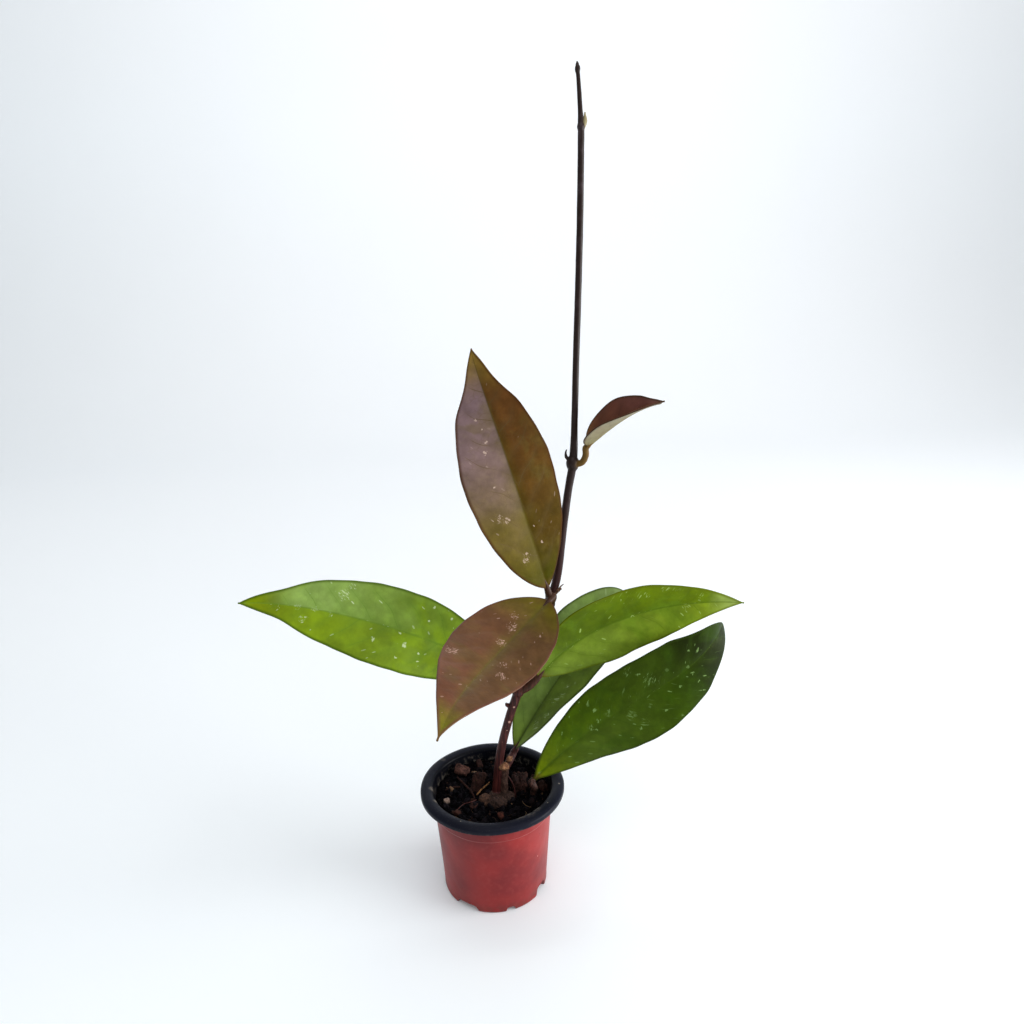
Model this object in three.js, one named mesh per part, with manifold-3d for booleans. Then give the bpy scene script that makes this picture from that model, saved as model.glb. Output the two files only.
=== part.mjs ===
// Potted hoya pubicalyx: a rooted cutting with seven leaves in a small nursery pot.
// Millimetres, +Z up. The origin is the middle of the pot's underside, on the surface
// that it stands on. +X is to the right and -Y is towards whoever looks at the plant.

import * as THREE from 'three';
import { mergeVertices } from 'three/addons/utils/BufferGeometryUtils.js';
import Module from 'manifold-3d';

const wasm = await Module();
wasm.setup();

// Clearances
const CLEARANCE = 0.35;

// Pot: a thin formed plastic sheet with a rolled rim
const POT_HEIGHT = 66;
const RIM_RADIUS = 42.5;
const RIM_DROP = 4.2;
const ROLL_HALF_WIDTH = 3.7;
const ROLL_HEIGHT = 2.2;
const LIP_THICKNESS = 1.2;
const BODY_TOP_RADIUS = 35.7;
const BODY_BASE_RADIUS = 31.2;
const FOOT_RADIUS = 29.9;
const CORNER_HEIGHT = 2;
const INNER_CORNER_HEIGHT = 3;
const FLOOR = 1.2;
const STEP_HEIGHT = 51;
const STEP_DEPTH = 0.35;
const WALL = 1;
const OVERCUT = 1;
const POT_SIDES = 44;

// Drain recesses under the pot: angle in degrees round the pot, width and height
const RECESS_DEPTH = 7;
const DRAIN_RADIUS = 1.7;
const RECESSES = [
  { angle: -125, width: 14, height: 3 },
  { angle: -75, width: 5, height: 2.2 },
  { angle: -31, width: 10, height: 5 },
  { angle: 21, width: 12, height: 3 },
  { angle: 73, width: 12, height: 3 },
  { angle: 124, width: 12, height: 3 },
  { angle: 178, width: 10, height: 4 },
];

// Potting mix
const SOIL_LEVEL = 56.5;
const SOIL_SLOPE = 0.06;
const SOIL_CLEARANCE = 0.5;
const SOIL_EDGE = 1.6;
const SOIL_RINGS = 7;

// Vine: the stem's centre line from below the mix to the tip, with its radius there.
// The first few points are the foot that stands in the mix.
const STEM_SIDES = 8;
const STEM = [
  { at: [0.4, 0.6, 20], radius: 2.0 },
  { at: [1.5, 0, 46], radius: 2.5 },
  { at: [2.2, 0, 57], radius: 2.7 },
  { at: [5.3, 0, 83.5], radius: 2.55 },
  { at: [10.6, 0, 105], radius: 2.5 },
  { at: [16.9, 0, 124], radius: 2.6 },
  { at: [26.5, 0.8, 151], radius: 2.35 },
  { at: [35.5, 0.3, 177], radius: 2.4 },
  { at: [40.0, 0, 192], radius: 2.3 },
  { at: [43.7, 0, 219.5], radius: 2.2 },
  { at: [46.8, 0, 241.5], radius: 2.1 },
  { at: [49.4, 0, 256.5], radius: 2.2 },
  { at: [50.4, 0, 278.5], radius: 1.75 },
  { at: [51.2, 0, 305], radius: 1.7 },
  { at: [52.5, 0, 338.5], radius: 1.7 },
  { at: [53.7, 0, 375.5], radius: 1.65 },
  { at: [54.3, 0, 406.5], radius: 1.6 },
  { at: [54.4, 0, 416], radius: 1.6 },
  { at: [54.0, 0, 425], radius: 1.15 },
  { at: [53.3, 0, 436], radius: 1.0 },
  { at: [53.0, 0, 439.5], radius: 1.0 },
];
const STEM_STEP = 9;
const STEM_IN_MIX = 4;
const SHOOT_SIDES = 5;
const SHOOT_STEP = 2.2;

// Joints of the vine, where leaves spring: place, half sizes
const KNOB_SIDES = 8;
const KNOB_RINGS = 6;
const STEM_NODES = [
  { at: [16.9, 0, 124], size: [3.5, 3.3, 3.4] },
  { at: [35.7, 0.1, 177.5], size: [3.4, 3.3, 4.0] },
  { at: [49.4, 0, 256.8], size: [3.2, 2.8, 3.6] },
  { at: [54.4, 0, 416.5], size: [2.0, 1.9, 2.2] },
  { at: [52.9, 0, 440.6], size: [1.35, 1.3, 2.2] },
];

// Small growths on the vine: short tapered shoots from a root point to a tip
const SHOOTS = [
  { points: [[55.0, 0, 415.5], [56.1, 0, 418.5], [56.3, 0, 422.6]], radii: [1.1, 1.25, 0.35] },
  { points: [[52.9, 0, 441], [52.8, 0, 442.6], [52.7, 0, 444]], radii: [1.1, 0.8, 0.3] },
  { points: [[48.0, 0, 257.5], [46.0, -0.2, 259.2], [45.6, -0.2, 261.8]], radii: [1.5, 1.1, 0.5] },
  { points: [[38.4, -0.4, 183.6], [41.0, -1.4, 185.6], [44.0, -2.0, 186.9]], radii: [1.6, 1.1, 0.4] },
  { points: [[12.2, 0, 115.2], [10.4, -0.2, 116.2], [9.7, -0.2, 117.2]], radii: [1.6, 1.2, 0.6] },
];

// Leaf stalks that spring from the vine; each ends at the base of its blade
const STALK_SIDES = 7;
const STALK_STEP = 4;
const STALKS = {
  leaf_left: { from: [[16.9, 0, 124], [12.6, 1.2, 128.0]], radius: 2.2 },
  leaf_right: { from: [[16.9, 0, 124], [22.6, -1.5, 127.6]], radius: 2.3 },
  leaf_lower_bronze: { from: [[35.6, -0.6, 176.5], [37.3, -5.2, 182.2], [37.0, -9.0, 185.2]], radius: 1.9 },
  leaf_upper_bronze: { from: [[35.4, -0.8, 176.5], [35.0, -5.4, 182]], radius: 1.8 },
  leaf_young: { from: [[50.4, -0.8, 255.4], [53.8, -2.2, 256.4], [55.2, -3.4, 260.2]], radius: 1.7 },
  leaf_rear: { from: [[8.2, 0.6, 73.5], [10.4, 2.4, 77.0]], radius: 2.2 },
};

// Old stump beside the vine, with its knobs, and the crown that both grow from
const STUMP = {
  points: [[6.4, -1.0, 44], [7.0, -1.2, 58], [7.4, -0.8, 70], [8.4, 0.2, 76.5]],
  radii: [2.2, 2.4, 2.2, 2.5],
};
const KNOBS = [
  { at: [7.3, -1.6, 76.6], size: [2.7, 2.2, 2.4] },
  { at: [10.4, 0.6, 80.6], size: [2.0, 2.0, 2.0] },
  { at: [2.6, -8.0, 57.0], size: [6.2, 4.4, 3.8] },
  { at: [9.0, -4.6, 57.4], size: [4.4, 4.0, 3.4] },
  { at: [-4.6, -5.4, 57.0], size: [3.8, 4.2, 3.6] },
  { at: [2.6, -1.2, 55.0], size: [7.0, 5.4, 4.6] },
];

// Roots under the crown: angle round the stem, how far they reach and how deep they go
const ROOTS = [
  { angle: 20, reach: 17, bottom: 26, radius: 1.3 },
  { angle: 165, reach: 18, bottom: 22, radius: 1.4 },
  { angle: 235, reach: 14, bottom: 30, radius: 1.1 },
  { angle: 305, reach: 16, bottom: 18, radius: 1.3 },
];
const ROOT_START = 44;
const ROOT_SIDES = 5;
const ROOT_STEP = 9;

// Front leaf's own stalk, which stands in the soil
const FRONT_STALK = { from: [[23.2, 3.0, 42], [24.0, -0.8, 56], [24.6, -5.2, 65]], radius: 2.1 };

// Blades. Angles are in degrees: heading turns round +Z from +X, rise is up from level,
// roll turns the blade about its midrib. Each is given at base and tip, with a bow in
// between and a hook at the tip. Shoulder and taper set how full the two ends are.
const BLADES = {
  leaf_left: {
    base: [8.7, 2.2, 132.3], length: 152, width: 44.7, steps: 24,
    heading: [185, 186, 0, 11], rise: [41, 24, -9, -18], roll: [-71.5, -60],
    fold: 12, curl: 0, shoulder: 0.8, taper: 1.0, skew: 0, wave: 1.0, waves: 2.6, phase: 0.1,
  },
  leaf_right: {
    base: [28.9, -2.8, 134.2], length: 125.5, width: 44, steps: 24,
    heading: [-2, -3, -3, 1], rise: [52.5, -2.5, -5, -4.5], roll: [111, 97.5],
    fold: 11, curl: 0.02, shoulder: 0.71, taper: 1.09, skew: 0, wave: 0.6, waves: 3, phase: 0,
  },
  leaf_lower_bronze: {
    base: [34.2, -11.9, 184.1], length: 128, width: 48.4, steps: 24,
    heading: [-139, -101, 6, -4], rise: [-24, 23.5, 2.5, -39.5], roll: [-13.5, -27.5],
    fold: 8.5, curl: 0.05, shoulder: 0.62, taper: 1.25, skew: 0.04, wave: 0.9, waves: 1.6, phase: 0.84,
  },
  leaf_upper_bronze: {
    base: [34.2, -9.3, 190.2], length: 132.2, width: 49.7, steps: 24,
    heading: [190, 164, 4, -40.5], rise: [75, 68, 2, 3], roll: [-63, -88],
    fold: 9, curl: 0.1, shoulder: 0.72, taper: 0.91, skew: -0.09, wave: 0.9, waves: 2.3, phase: 0.5,
  },
  leaf_rear: {
    base: [14.2, 7.8, 82.1], length: 115.5, width: 46, steps: 24,
    heading: [22, 28, -2, 0], rise: [55, 35, 2.5, -5.5], roll: [3.5, 38],
    fold: 14.5, curl: -0.07, shoulder: 0.71, taper: 0.52, skew: -0.03, wave: 0.7, waves: 3.1, phase: 0,
  },
  leaf_front: {
    base: [24.6, -8.7, 72], length: 143.5, width: 48, steps: 24,
    heading: [5.5, 6.5, -15, 47.5], rise: [46.5, 33.5, -4.5, 9.5], roll: [91.5, 89.5],
    fold: 5, curl: 0.07, shoulder: 0.8, taper: 0.57, skew: 0.02, wave: 1.8, waves: 1.9, phase: 0.08,
  },
  leaf_young: {
    base: [55.7, -4.9, 266.1], length: 48.5, width: 26.2, steps: 14,
    heading: [-27, -25.5, -8.5, -0.5], rise: [41.5, 15.5, 5, -7.5], roll: [15, 43],
    fold: 33.5, curl: 0, shoulder: 0.56, taper: 1.12, skew: 0, wave: 0.3, waves: 2, phase: 0.2,
  },
};
const BLADE_COLUMNS = [-1, -0.8, -0.52, -0.24, 0, 0.24, 0.52, 0.8, 1];
const HOOK_POWER = 5;
const BASE_HALF_WIDTH = 1.5;
const TIP_HALF_WIDTH = 0.45;
const RIB_THICKNESS = 1.7;
const EDGE_THICKNESS = 0.75;
const WAVE_SIDE_SHIFT = 1.5;

// Pieces of bark and grit on the mix: centre, size, turn in degrees about X, Y and Z.
// A hole that a piece lies in is larger by the clearance all round its rough faces.
const BARK_ROUNDING = 0.42;
const BARK_ROUGHNESS = 0.2;
const BARK_HOLE = 2.6 * CLEARANCE;
const BARK = {
  bark_chunk: { at: [16.3, 3.8, 60.4], size: [9.0, 8.2, 13.6], turn: [-12, 6, 6], seed: 3 },
  bark_chunk_small: { at: [30.0, 2.8, 58.8], size: [5.2, 5.6, 6.6], turn: [10, -14, 20], seed: 8 },
  bark_chip_upright: { at: [-8.2, 7.4, 60.6], size: [8, 3.6, 13], turn: [-26, 20, 12], seed: 5 },
  bark_chip_back: { at: [-18.4, 21.0, 60.6], size: [9.5, 6.5, 3.4], turn: [18, 8, -20], seed: 11 },
  bark_chip_left: { at: [-11.2, -10.2, 57.6], size: [5.2, 3.6, 3.0], turn: [8, -10, 30], seed: 17 },
  bark_chip_front: { at: [-20.4, -15.6, 57.4], size: [4.2, 3.0, 2.6], turn: [0, 14, -35], seed: 21 },
  bark_chip_red: { at: [4.4, -19.6, 56.8], size: [3.6, 4.8, 2.6], turn: [12, 0, 20], seed: 29 },
  bark_chip_far: { at: [-7.4, 27.6, 59.6], size: [3.4, 6.0, 3.0], turn: [20, -6, 10], seed: 31 },
  pebble: { at: [-27.0, -5.0, 57.8], size: [3.6, 3.3, 3.2], turn: [0, 0, 20], seed: 37 },
};

// Loose root and twigs that lie on the mix
const TWIGS = {
  pale_root: {
    points: [[-9.6, 0.2, 57.0], [-6.2, 2.4, 59.6], [-2.4, 5.6, 60.6], [-1.6, 8.2, 59.8]],
    radii: [0.55, 0.6, 0.6, 0.45],
  },
  twig_long: {
    points: [[-21.2, 15.6, 59.4], [-17.0, 8.6, 59.4], [-12.6, 2.2, 58.4], [-10.4, -3.4, 57.0]],
    radii: [0.6, 0.8, 0.75, 0.5],
  },
  twig_short: {
    points: [[-28.2, 5.4, 58.0], [-23.6, 6.4, 59.0], [-18.9, 6.6, 58.8]],
    radii: [0.55, 0.7, 0.55],
  },
};

// Materials
const finish = (color, roughness) => new THREE.MeshStandardMaterial({ color, roughness, metalness: 0 });
const POT_RED = finish(0xa03c3c, 0.45);
const SOIL_DARK = finish(0x15110f, 0.95);
const VINE_BROWN = finish(0x3c1f20, 0.55);
const STALK_BROWN = finish(0x5a3a2a, 0.6);
const LEAF_BRIGHT = finish(0x6c8f1e, 0.4);
const LEAF_DARK = finish(0x3c661c, 0.4);
const LEAF_BRONZE = finish(0x6b4636, 0.4);
const LEAF_MAROON = finish(0x5a2c2c, 0.45);
const BARK_BROWN = finish(0x4a3026, 0.9);
const PALE_TAN = finish(0xa98a66, 0.8);
const GRIT = finish(0xb9a898, 0.8);

const radians = (degrees) => (degrees * Math.PI) / 180;
const point = (coordinates) => new THREE.Vector3(...coordinates);

// A repeatable run of numbers between 0 and 1
function seededNumbers(seed) {
  let state = seed;
  return () => {
    state = (state * 16807) % 2147483647;
    return state / 2147483647;
  };
}

// Solid and geometry conversions
function meshVolume(positions, triangles) {
  const corner = (k) => new THREE.Vector3().fromArray(positions, 3 * k);
  let volume = 0;
  for (let k = 0; k < triangles.length; k += 3) {
    const [a, b, c] = [corner(triangles[k]), corner(triangles[k + 1]), corner(triangles[k + 2])];
    volume += a.dot(b.cross(c)) / 6;
  }
  return volume;
}

function toSolid(geometry) {
  const bare = geometry.clone();
  bare.deleteAttribute('normal');
  bare.deleteAttribute('uv');
  const merged = mergeVertices(bare, 1e-4);
  const vertProperties = new Float32Array(merged.attributes.position.array);
  const triVerts = new Uint32Array(merged.index.array);
  if (meshVolume(vertProperties, triVerts) < 0) {
    for (let k = 0; k < triVerts.length; k += 3) {
      [triVerts[k + 1], triVerts[k + 2]] = [triVerts[k + 2], triVerts[k + 1]];
    }
  }
  return new wasm.Manifold(new wasm.Mesh({ numProp: 3, vertProperties, triVerts }));
}

function toGeometry(solid) {
  const mesh = solid.getMesh();
  const geometry = new THREE.BufferGeometry();
  geometry.setAttribute('position', new THREE.BufferAttribute(new Float32Array(mesh.vertProperties), 3));
  geometry.setIndex(new THREE.BufferAttribute(new Uint32Array(mesh.triVerts), 1));
  geometry.computeVertexNormals();
  return geometry;
}

const joinAll = (solids) => solids.reduce((whole, solid) => whole.add(solid));

function largestBody(solid) {
  return solid.decompose().reduce((best, body) => (body.volume() > best.volume() ? body : best));
}

// A closed solid through rings of points, capped at both ends
function loft(rings) {
  const sides = rings[0].length;
  const positions = rings.flat().flatMap((p) => [p.x, p.y, p.z]);
  const middleOf = (ring) => ring.reduce((sum, p) => sum.add(p), new THREE.Vector3()).divideScalar(sides);
  const first = rings.length * sides;
  positions.push(...middleOf(rings[0]).toArray(), ...middleOf(rings[rings.length - 1]).toArray());
  const triangles = [];
  for (let r = 0; r < rings.length - 1; r += 1) {
    for (let s = 0; s < sides; s += 1) {
      const a = r * sides + s;
      const b = r * sides + ((s + 1) % sides);
      triangles.push(a, b, b + sides, a, b + sides, a + sides);
    }
  }
  const last = (rings.length - 1) * sides;
  for (let s = 0; s < sides; s += 1) {
    const next = (s + 1) % sides;
    triangles.push(first, next, s, first + 1, last + s, last + next);
  }
  const geometry = new THREE.BufferGeometry();
  geometry.setAttribute('position', new THREE.Float32BufferAttribute(positions, 3));
  geometry.setIndex(triangles);
  return geometry;
}

// A round stalk through points, with its radius at each; extra thickens it all over
function stalkSolid(points, radii, sides, step, extra = 0) {
  const curve = new THREE.CatmullRomCurve3(points.map(point), false, 'centripetal');
  const steps = Math.max(points.length, Math.round(curve.getLength() / step));
  const spots = Array.from({ length: steps + 1 }, (_, k) => curve.getPoint(k / steps));
  const tangents = spots.map((_, k) => curve.getTangent(k / steps));
  if (extra > 0) {
    spots[0].addScaledVector(tangents[0], -extra);
    spots[steps].addScaledVector(tangents[steps], extra);
  }
  let across = new THREE.Vector3(1, 0, 0).cross(tangents[0]);
  if (across.length() < 0.2) across = new THREE.Vector3(0, 1, 0).cross(tangents[0]);
  const rings = spots.map((spot, k) => {
    across.addScaledVector(tangents[k], -across.dot(tangents[k])).normalize();
    const other = new THREE.Vector3().crossVectors(tangents[k], across);
    const place = (k / steps) * (radii.length - 1);
    const low = Math.min(Math.floor(place), radii.length - 2);
    const radius = radii[low] + (radii[low + 1] - radii[low]) * (place - low) + extra;
    return Array.from({ length: sides }, (_, s) => {
      const turn = (2 * Math.PI * s) / sides;
      return spot.clone()
        .addScaledVector(across, radius * Math.cos(turn))
        .addScaledVector(other, radius * Math.sin(turn));
    });
  });
  return toSolid(loft(rings));
}

function knobSolid(knob, extra = 0) {
  const geometry = new THREE.SphereGeometry(1, KNOB_SIDES, KNOB_RINGS);
  geometry.scale(knob.size[0] + extra, knob.size[1] + extra, knob.size[2] + extra);
  geometry.translate(...knob.at);
  return toSolid(geometry);
}

// Pot
const bodyRadius = (z) => {
  const share = (z - CORNER_HEIGHT) / (POT_HEIGHT - RIM_DROP - CORNER_HEIGHT);
  return BODY_BASE_RADIUS + (BODY_TOP_RADIUS - BODY_BASE_RADIUS) * share;
};
const innerRadius = (z) => bodyRadius(z) - WALL;

function turned(outline) {
  const geometry = new THREE.LatheGeometry(outline.map(([r, z]) => new THREE.Vector2(r, z)), POT_SIDES);
  return toSolid(geometry.rotateX(Math.PI / 2));
}

function recessSolid(recess, grow) {
  const half = recess.width / 2 + grow;
  const top = recess.height + grow;
  const arch = new THREE.Shape();
  arch.moveTo(-half, -OVERCUT);
  arch.lineTo(half, -OVERCUT);
  arch.lineTo(half, top * 0.45);
  arch.quadraticCurveTo(half * 0.9, top, half * 0.45, top);
  arch.lineTo(-half * 0.45, top);
  arch.quadraticCurveTo(-half * 0.9, top, -half, top * 0.45);
  const length = 2 * RECESS_DEPTH + grow;
  const geometry = new THREE.ExtrudeGeometry(arch, { depth: length, bevelEnabled: false, curveSegments: 3 });
  geometry.rotateX(Math.PI / 2).rotateZ(Math.PI / 2);
  geometry.translate(FOOT_RADIUS - RECESS_DEPTH - grow, 0, 0);
  geometry.rotateZ(radians(recess.angle));
  return toSolid(geometry);
}

function drainSolid(recess) {
  const geometry = new THREE.CylinderGeometry(DRAIN_RADIUS, DRAIN_RADIUS, 8, 12).rotateX(Math.PI / 2);
  geometry.translate(FOOT_RADIUS - RECESS_DEPTH / 2, 0, recess.height + 1);
  return toSolid(geometry.rotateZ(radians(recess.angle)));
}

// Points of the rolled rim's top, between two angles from its outer edge over to the inside
function rollArc(start, end) {
  const steps = Math.abs(end - start) / 30;
  return Array.from({ length: steps + 1 }, (_, k) => {
    const turn = radians(start + ((end - start) * k) / steps);
    return [
      RIM_RADIUS - ROLL_HALF_WIDTH + ROLL_HALF_WIDTH * Math.cos(turn),
      POT_HEIGHT - ROLL_HEIGHT + ROLL_HEIGHT * Math.sin(turn),
    ];
  });
}

function potSolid() {
  const lipEnd = POT_HEIGHT - RIM_DROP;
  const rollUnder = POT_HEIGHT - ROLL_HEIGHT;
  const rollMiddle = RIM_RADIUS - ROLL_HALF_WIDTH;
  const outside = turned([
    [0, 0],
    [FOOT_RADIUS, 0],
    [BODY_BASE_RADIUS - STEP_DEPTH, CORNER_HEIGHT / 2],
    [bodyRadius(CORNER_HEIGHT), CORNER_HEIGHT],
    [bodyRadius(STEP_HEIGHT) - STEP_DEPTH, STEP_HEIGHT],
    [bodyRadius(STEP_HEIGHT + 1), STEP_HEIGHT + 1],
    [BODY_TOP_RADIUS, lipEnd],
    [BODY_TOP_RADIUS, rollUnder],
    [RIM_RADIUS - LIP_THICKNESS, rollUnder],
    [RIM_RADIUS - LIP_THICKNESS, lipEnd],
    [RIM_RADIUS - LIP_THICKNESS / 3, lipEnd],
    [RIM_RADIUS, lipEnd + LIP_THICKNESS / 2],
    ...rollArc(0, 90),
    [0, POT_HEIGHT],
  ]);
  let inside = turned([
    [0, FLOOR],
    [innerRadius(INNER_CORNER_HEIGHT) - INNER_CORNER_HEIGHT + FLOOR, FLOOR],
    [innerRadius(INNER_CORNER_HEIGHT), INNER_CORNER_HEIGHT],
    [innerRadius(STEP_HEIGHT) - STEP_DEPTH, STEP_HEIGHT],
    [innerRadius(STEP_HEIGHT + 1), STEP_HEIGHT + 1],
    [innerRadius(lipEnd), lipEnd],
    ...rollArc(180, 90),
    [rollMiddle, POT_HEIGHT + OVERCUT],
    [0, POT_HEIGHT + OVERCUT],
  ]);
  let shell = outside;
  for (const recess of RECESSES) {
    shell = shell.subtract(recessSolid(recess, 0));
    inside = inside.subtract(recessSolid(recess, WALL));
  }
  shell = shell.subtract(inside);
  for (const recess of RECESSES) shell = shell.subtract(drainSolid(recess));
  return largestBody(shell);
}

// Potting mix: it fills the pot, with a lumpy top, and every piece stands in its own hole
function soilTop(x, y) {
  const broad = 0.7 * Math.sin(0.31 * x + 1.3) * Math.cos(0.27 * y - 0.4);
  const fine = 0.55 * Math.sin(0.83 * x - 0.57 * y) * Math.cos(0.49 * x + 0.91 * y + 0.8);
  return SOIL_LEVEL + SOIL_SLOPE * y + broad + fine;
}

function soilSolid(embedded) {
  const ringAt = (radius, height) => Array.from({ length: POT_SIDES }, (_, s) => {
    const turn = (2 * Math.PI * s) / POT_SIDES;
    const x = radius * Math.cos(turn);
    const y = radius * Math.sin(turn);
    return new THREE.Vector3(x, y, height === undefined ? soilTop(x, y) : height);
  });
  const top = innerRadius(SOIL_LEVEL) - SOIL_CLEARANCE;
  const cornerIn = INNER_CORNER_HEIGHT - FLOOR + SOIL_CLEARANCE;
  const rings = [
    ringAt(innerRadius(INNER_CORNER_HEIGHT) - cornerIn, FLOOR + SOIL_CLEARANCE),
    ringAt(innerRadius(INNER_CORNER_HEIGHT) - SOIL_CLEARANCE, INNER_CORNER_HEIGHT + SOIL_CLEARANCE),
    ringAt(innerRadius(STEP_HEIGHT) - STEP_DEPTH - SOIL_CLEARANCE, STEP_HEIGHT),
    ringAt(top),
  ];
  for (let k = SOIL_RINGS; k >= 1; k -= 1) rings.push(ringAt((top - SOIL_EDGE) * (k / SOIL_RINGS)));
  let soil = toSolid(loft(rings));
  for (const recess of RECESSES) soil = soil.subtract(recessSolid(recess, WALL + SOIL_CLEARANCE));
  for (const piece of embedded) soil = soil.subtract(piece);
  return largestBody(soil);
}

// Blade of a leaf: its midrib, frame and half width along its length
function bladeFrame(blade, t) {
  const along = ([start, end, bow = 0, hook = 0]) => radians(
    start + (end - start) * t + bow * 4 * t * (1 - t) + hook * t ** HOOK_POWER,
  );
  const heading = along(blade.heading);
  const rise = along(blade.rise);
  const roll = along(blade.roll);
  const tangent = new THREE.Vector3(
    Math.cos(rise) * Math.cos(heading), Math.cos(rise) * Math.sin(heading), Math.sin(rise),
  );
  const upright = new THREE.Vector3(
    -Math.sin(rise) * Math.cos(heading), -Math.sin(rise) * Math.sin(heading), Math.cos(rise),
  );
  const level = new THREE.Vector3().crossVectors(tangent, upright);
  const normal = upright.multiplyScalar(Math.cos(roll)).addScaledVector(level, Math.sin(roll));
  const side = new THREE.Vector3().crossVectors(tangent, normal);
  return { tangent, normal, side };
}

function bladeFullness(blade, t) {
  const peak = blade.shoulder / (blade.shoulder + blade.taper);
  const shape = (s) => s ** blade.shoulder * (1 - s) ** blade.taper;
  return shape(t) / shape(peak);
}

function bladePoint(blade, middle, frame, t, u) {
  const fullness = bladeFullness(blade, t);
  const least = t < 0.5 ? BASE_HALF_WIDTH : TIP_HALF_WIDTH;
  const half = Math.max((blade.width / 2) * fullness, least);
  const fold = radians(blade.fold);
  const across = half * u * Math.cos(fold) * (1 + blade.skew * Math.sign(u));
  const lift = half * (Math.abs(u) * Math.sin(fold) - blade.curl * u * u);
  const turn = 2 * Math.PI * (blade.waves * t + blade.phase) + (u > 0 ? WAVE_SIDE_SHIFT : 0);
  const ripple = blade.wave * Math.sin(turn) * u * u * fullness;
  return middle.clone().addScaledVector(frame.side, across).addScaledVector(frame.normal, lift + ripple);
}

function bladeGeometry(blade) {
  const columns = BLADE_COLUMNS.length;
  const step = blade.length / blade.steps;
  const middle = point(blade.base);
  const top = [];
  const bottom = [];
  for (let k = 0; k <= blade.steps; k += 1) {
    const t = k / blade.steps;
    const frame = bladeFrame(blade, t);
    for (const u of BLADE_COLUMNS) {
      const thickness = EDGE_THICKNESS + (RIB_THICKNESS - EDGE_THICKNESS) * (1 - Math.abs(u)) ** 2;
      const upper = bladePoint(blade, middle, frame, t, u);
      top.push(upper);
      bottom.push(upper.clone().addScaledVector(frame.normal, -thickness));
    }
    const halfway = Math.min((k + 0.5) / blade.steps, 1);
    middle.addScaledVector(bladeFrame(blade, halfway).tangent, step);
  }
  const positions = [...top, ...bottom].flatMap((p) => [p.x, p.y, p.z]);
  const under = top.length;
  const triangles = [];
  for (let k = 0; k < blade.steps; k += 1) {
    for (let c = 0; c < columns - 1; c += 1) {
      const a = k * columns + c;
      const b = a + 1;
      const d = a + columns;
      triangles.push(a, b, d, b, d + 1, d);
      triangles.push(under + a, under + d, under + b, under + b, under + d, under + d + 1);
    }
  }
  const edge = [];
  for (let c = 0; c < columns - 1; c += 1) edge.push(c);
  for (let k = 0; k < blade.steps; k += 1) edge.push(k * columns + columns - 1);
  for (let c = columns - 1; c > 0; c -= 1) edge.push(blade.steps * columns + c);
  for (let k = blade.steps; k > 0; k -= 1) edge.push(k * columns);
  edge.forEach((a, k) => {
    const b = edge[(k + 1) % edge.length];
    triangles.push(a, under + a, b, b, under + a, under + b);
  });
  const geometry = new THREE.BufferGeometry();
  geometry.setAttribute('position', new THREE.Float32BufferAttribute(positions, 3));
  geometry.setIndex(triangles);
  return geometry;
}

// Points of a stalk up to the blade that it carries, ending just short of it
function stalkPoints(name, from) {
  const blade = BLADES[name];
  const frame = bladeFrame(blade, 0);
  const centre = point(blade.base).addScaledVector(frame.normal, -RIB_THICKNESS / 2);
  const end = centre.clone().addScaledVector(frame.tangent, -CLEARANCE);
  const approach = centre.clone().addScaledVector(frame.tangent, -CLEARANCE - 3);
  return [...from, approach.toArray(), end.toArray()];
}

const stalkOf = (name, stalk, extra) => {
  const points = stalkPoints(name, stalk.from);
  const radii = points.map((_, k) => (k === points.length - 1 ? stalk.radius * 0.75 : stalk.radius));
  return stalkSolid(points, radii, STALK_SIDES, STALK_STEP, extra);
};

// Stem with its stump, crown and roots; the mix has a hole of the same form round its foot
function rootedStem(stem, extra) {
  const pieces = [
    stalkSolid(stem.map((s) => s.at), stem.map((s) => s.radius), STEM_SIDES, STEM_STEP, extra),
    stalkSolid(STUMP.points, STUMP.radii, STALK_SIDES, STEM_STEP, extra),
    ...KNOBS.map((knob) => knobSolid(knob, extra)),
  ];
  for (const root of ROOTS) {
    const turn = radians(root.angle);
    const reach = (share, z) => [
      STEM[1].at[0] + root.reach * share * Math.cos(turn), root.reach * share * Math.sin(turn), z,
    ];
    const points = [
      reach(0, ROOT_START), reach(0.3, ROOT_START - 3),
      reach(0.75, (ROOT_START + root.bottom) / 2), reach(1, root.bottom),
    ];
    const radii = [1, 0.9, 0.7, 0.45].map((share) => root.radius * share);
    pieces.push(stalkSolid(points, radii, ROOT_SIDES, ROOT_STEP, extra));
  }
  return joinAll(pieces);
}

function vineSolid() {
  const pieces = [
    rootedStem(STEM, 0),
    ...STEM_NODES.map((node) => knobSolid(node)),
    ...SHOOTS.map((shoot) => stalkSolid(shoot.points, shoot.radii, SHOOT_SIDES, SHOOT_STEP)),
  ];
  for (const [name, stalk] of Object.entries(STALKS)) pieces.push(stalkOf(name, stalk, 0));
  return largestBody(joinAll(pieces));
}

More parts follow.
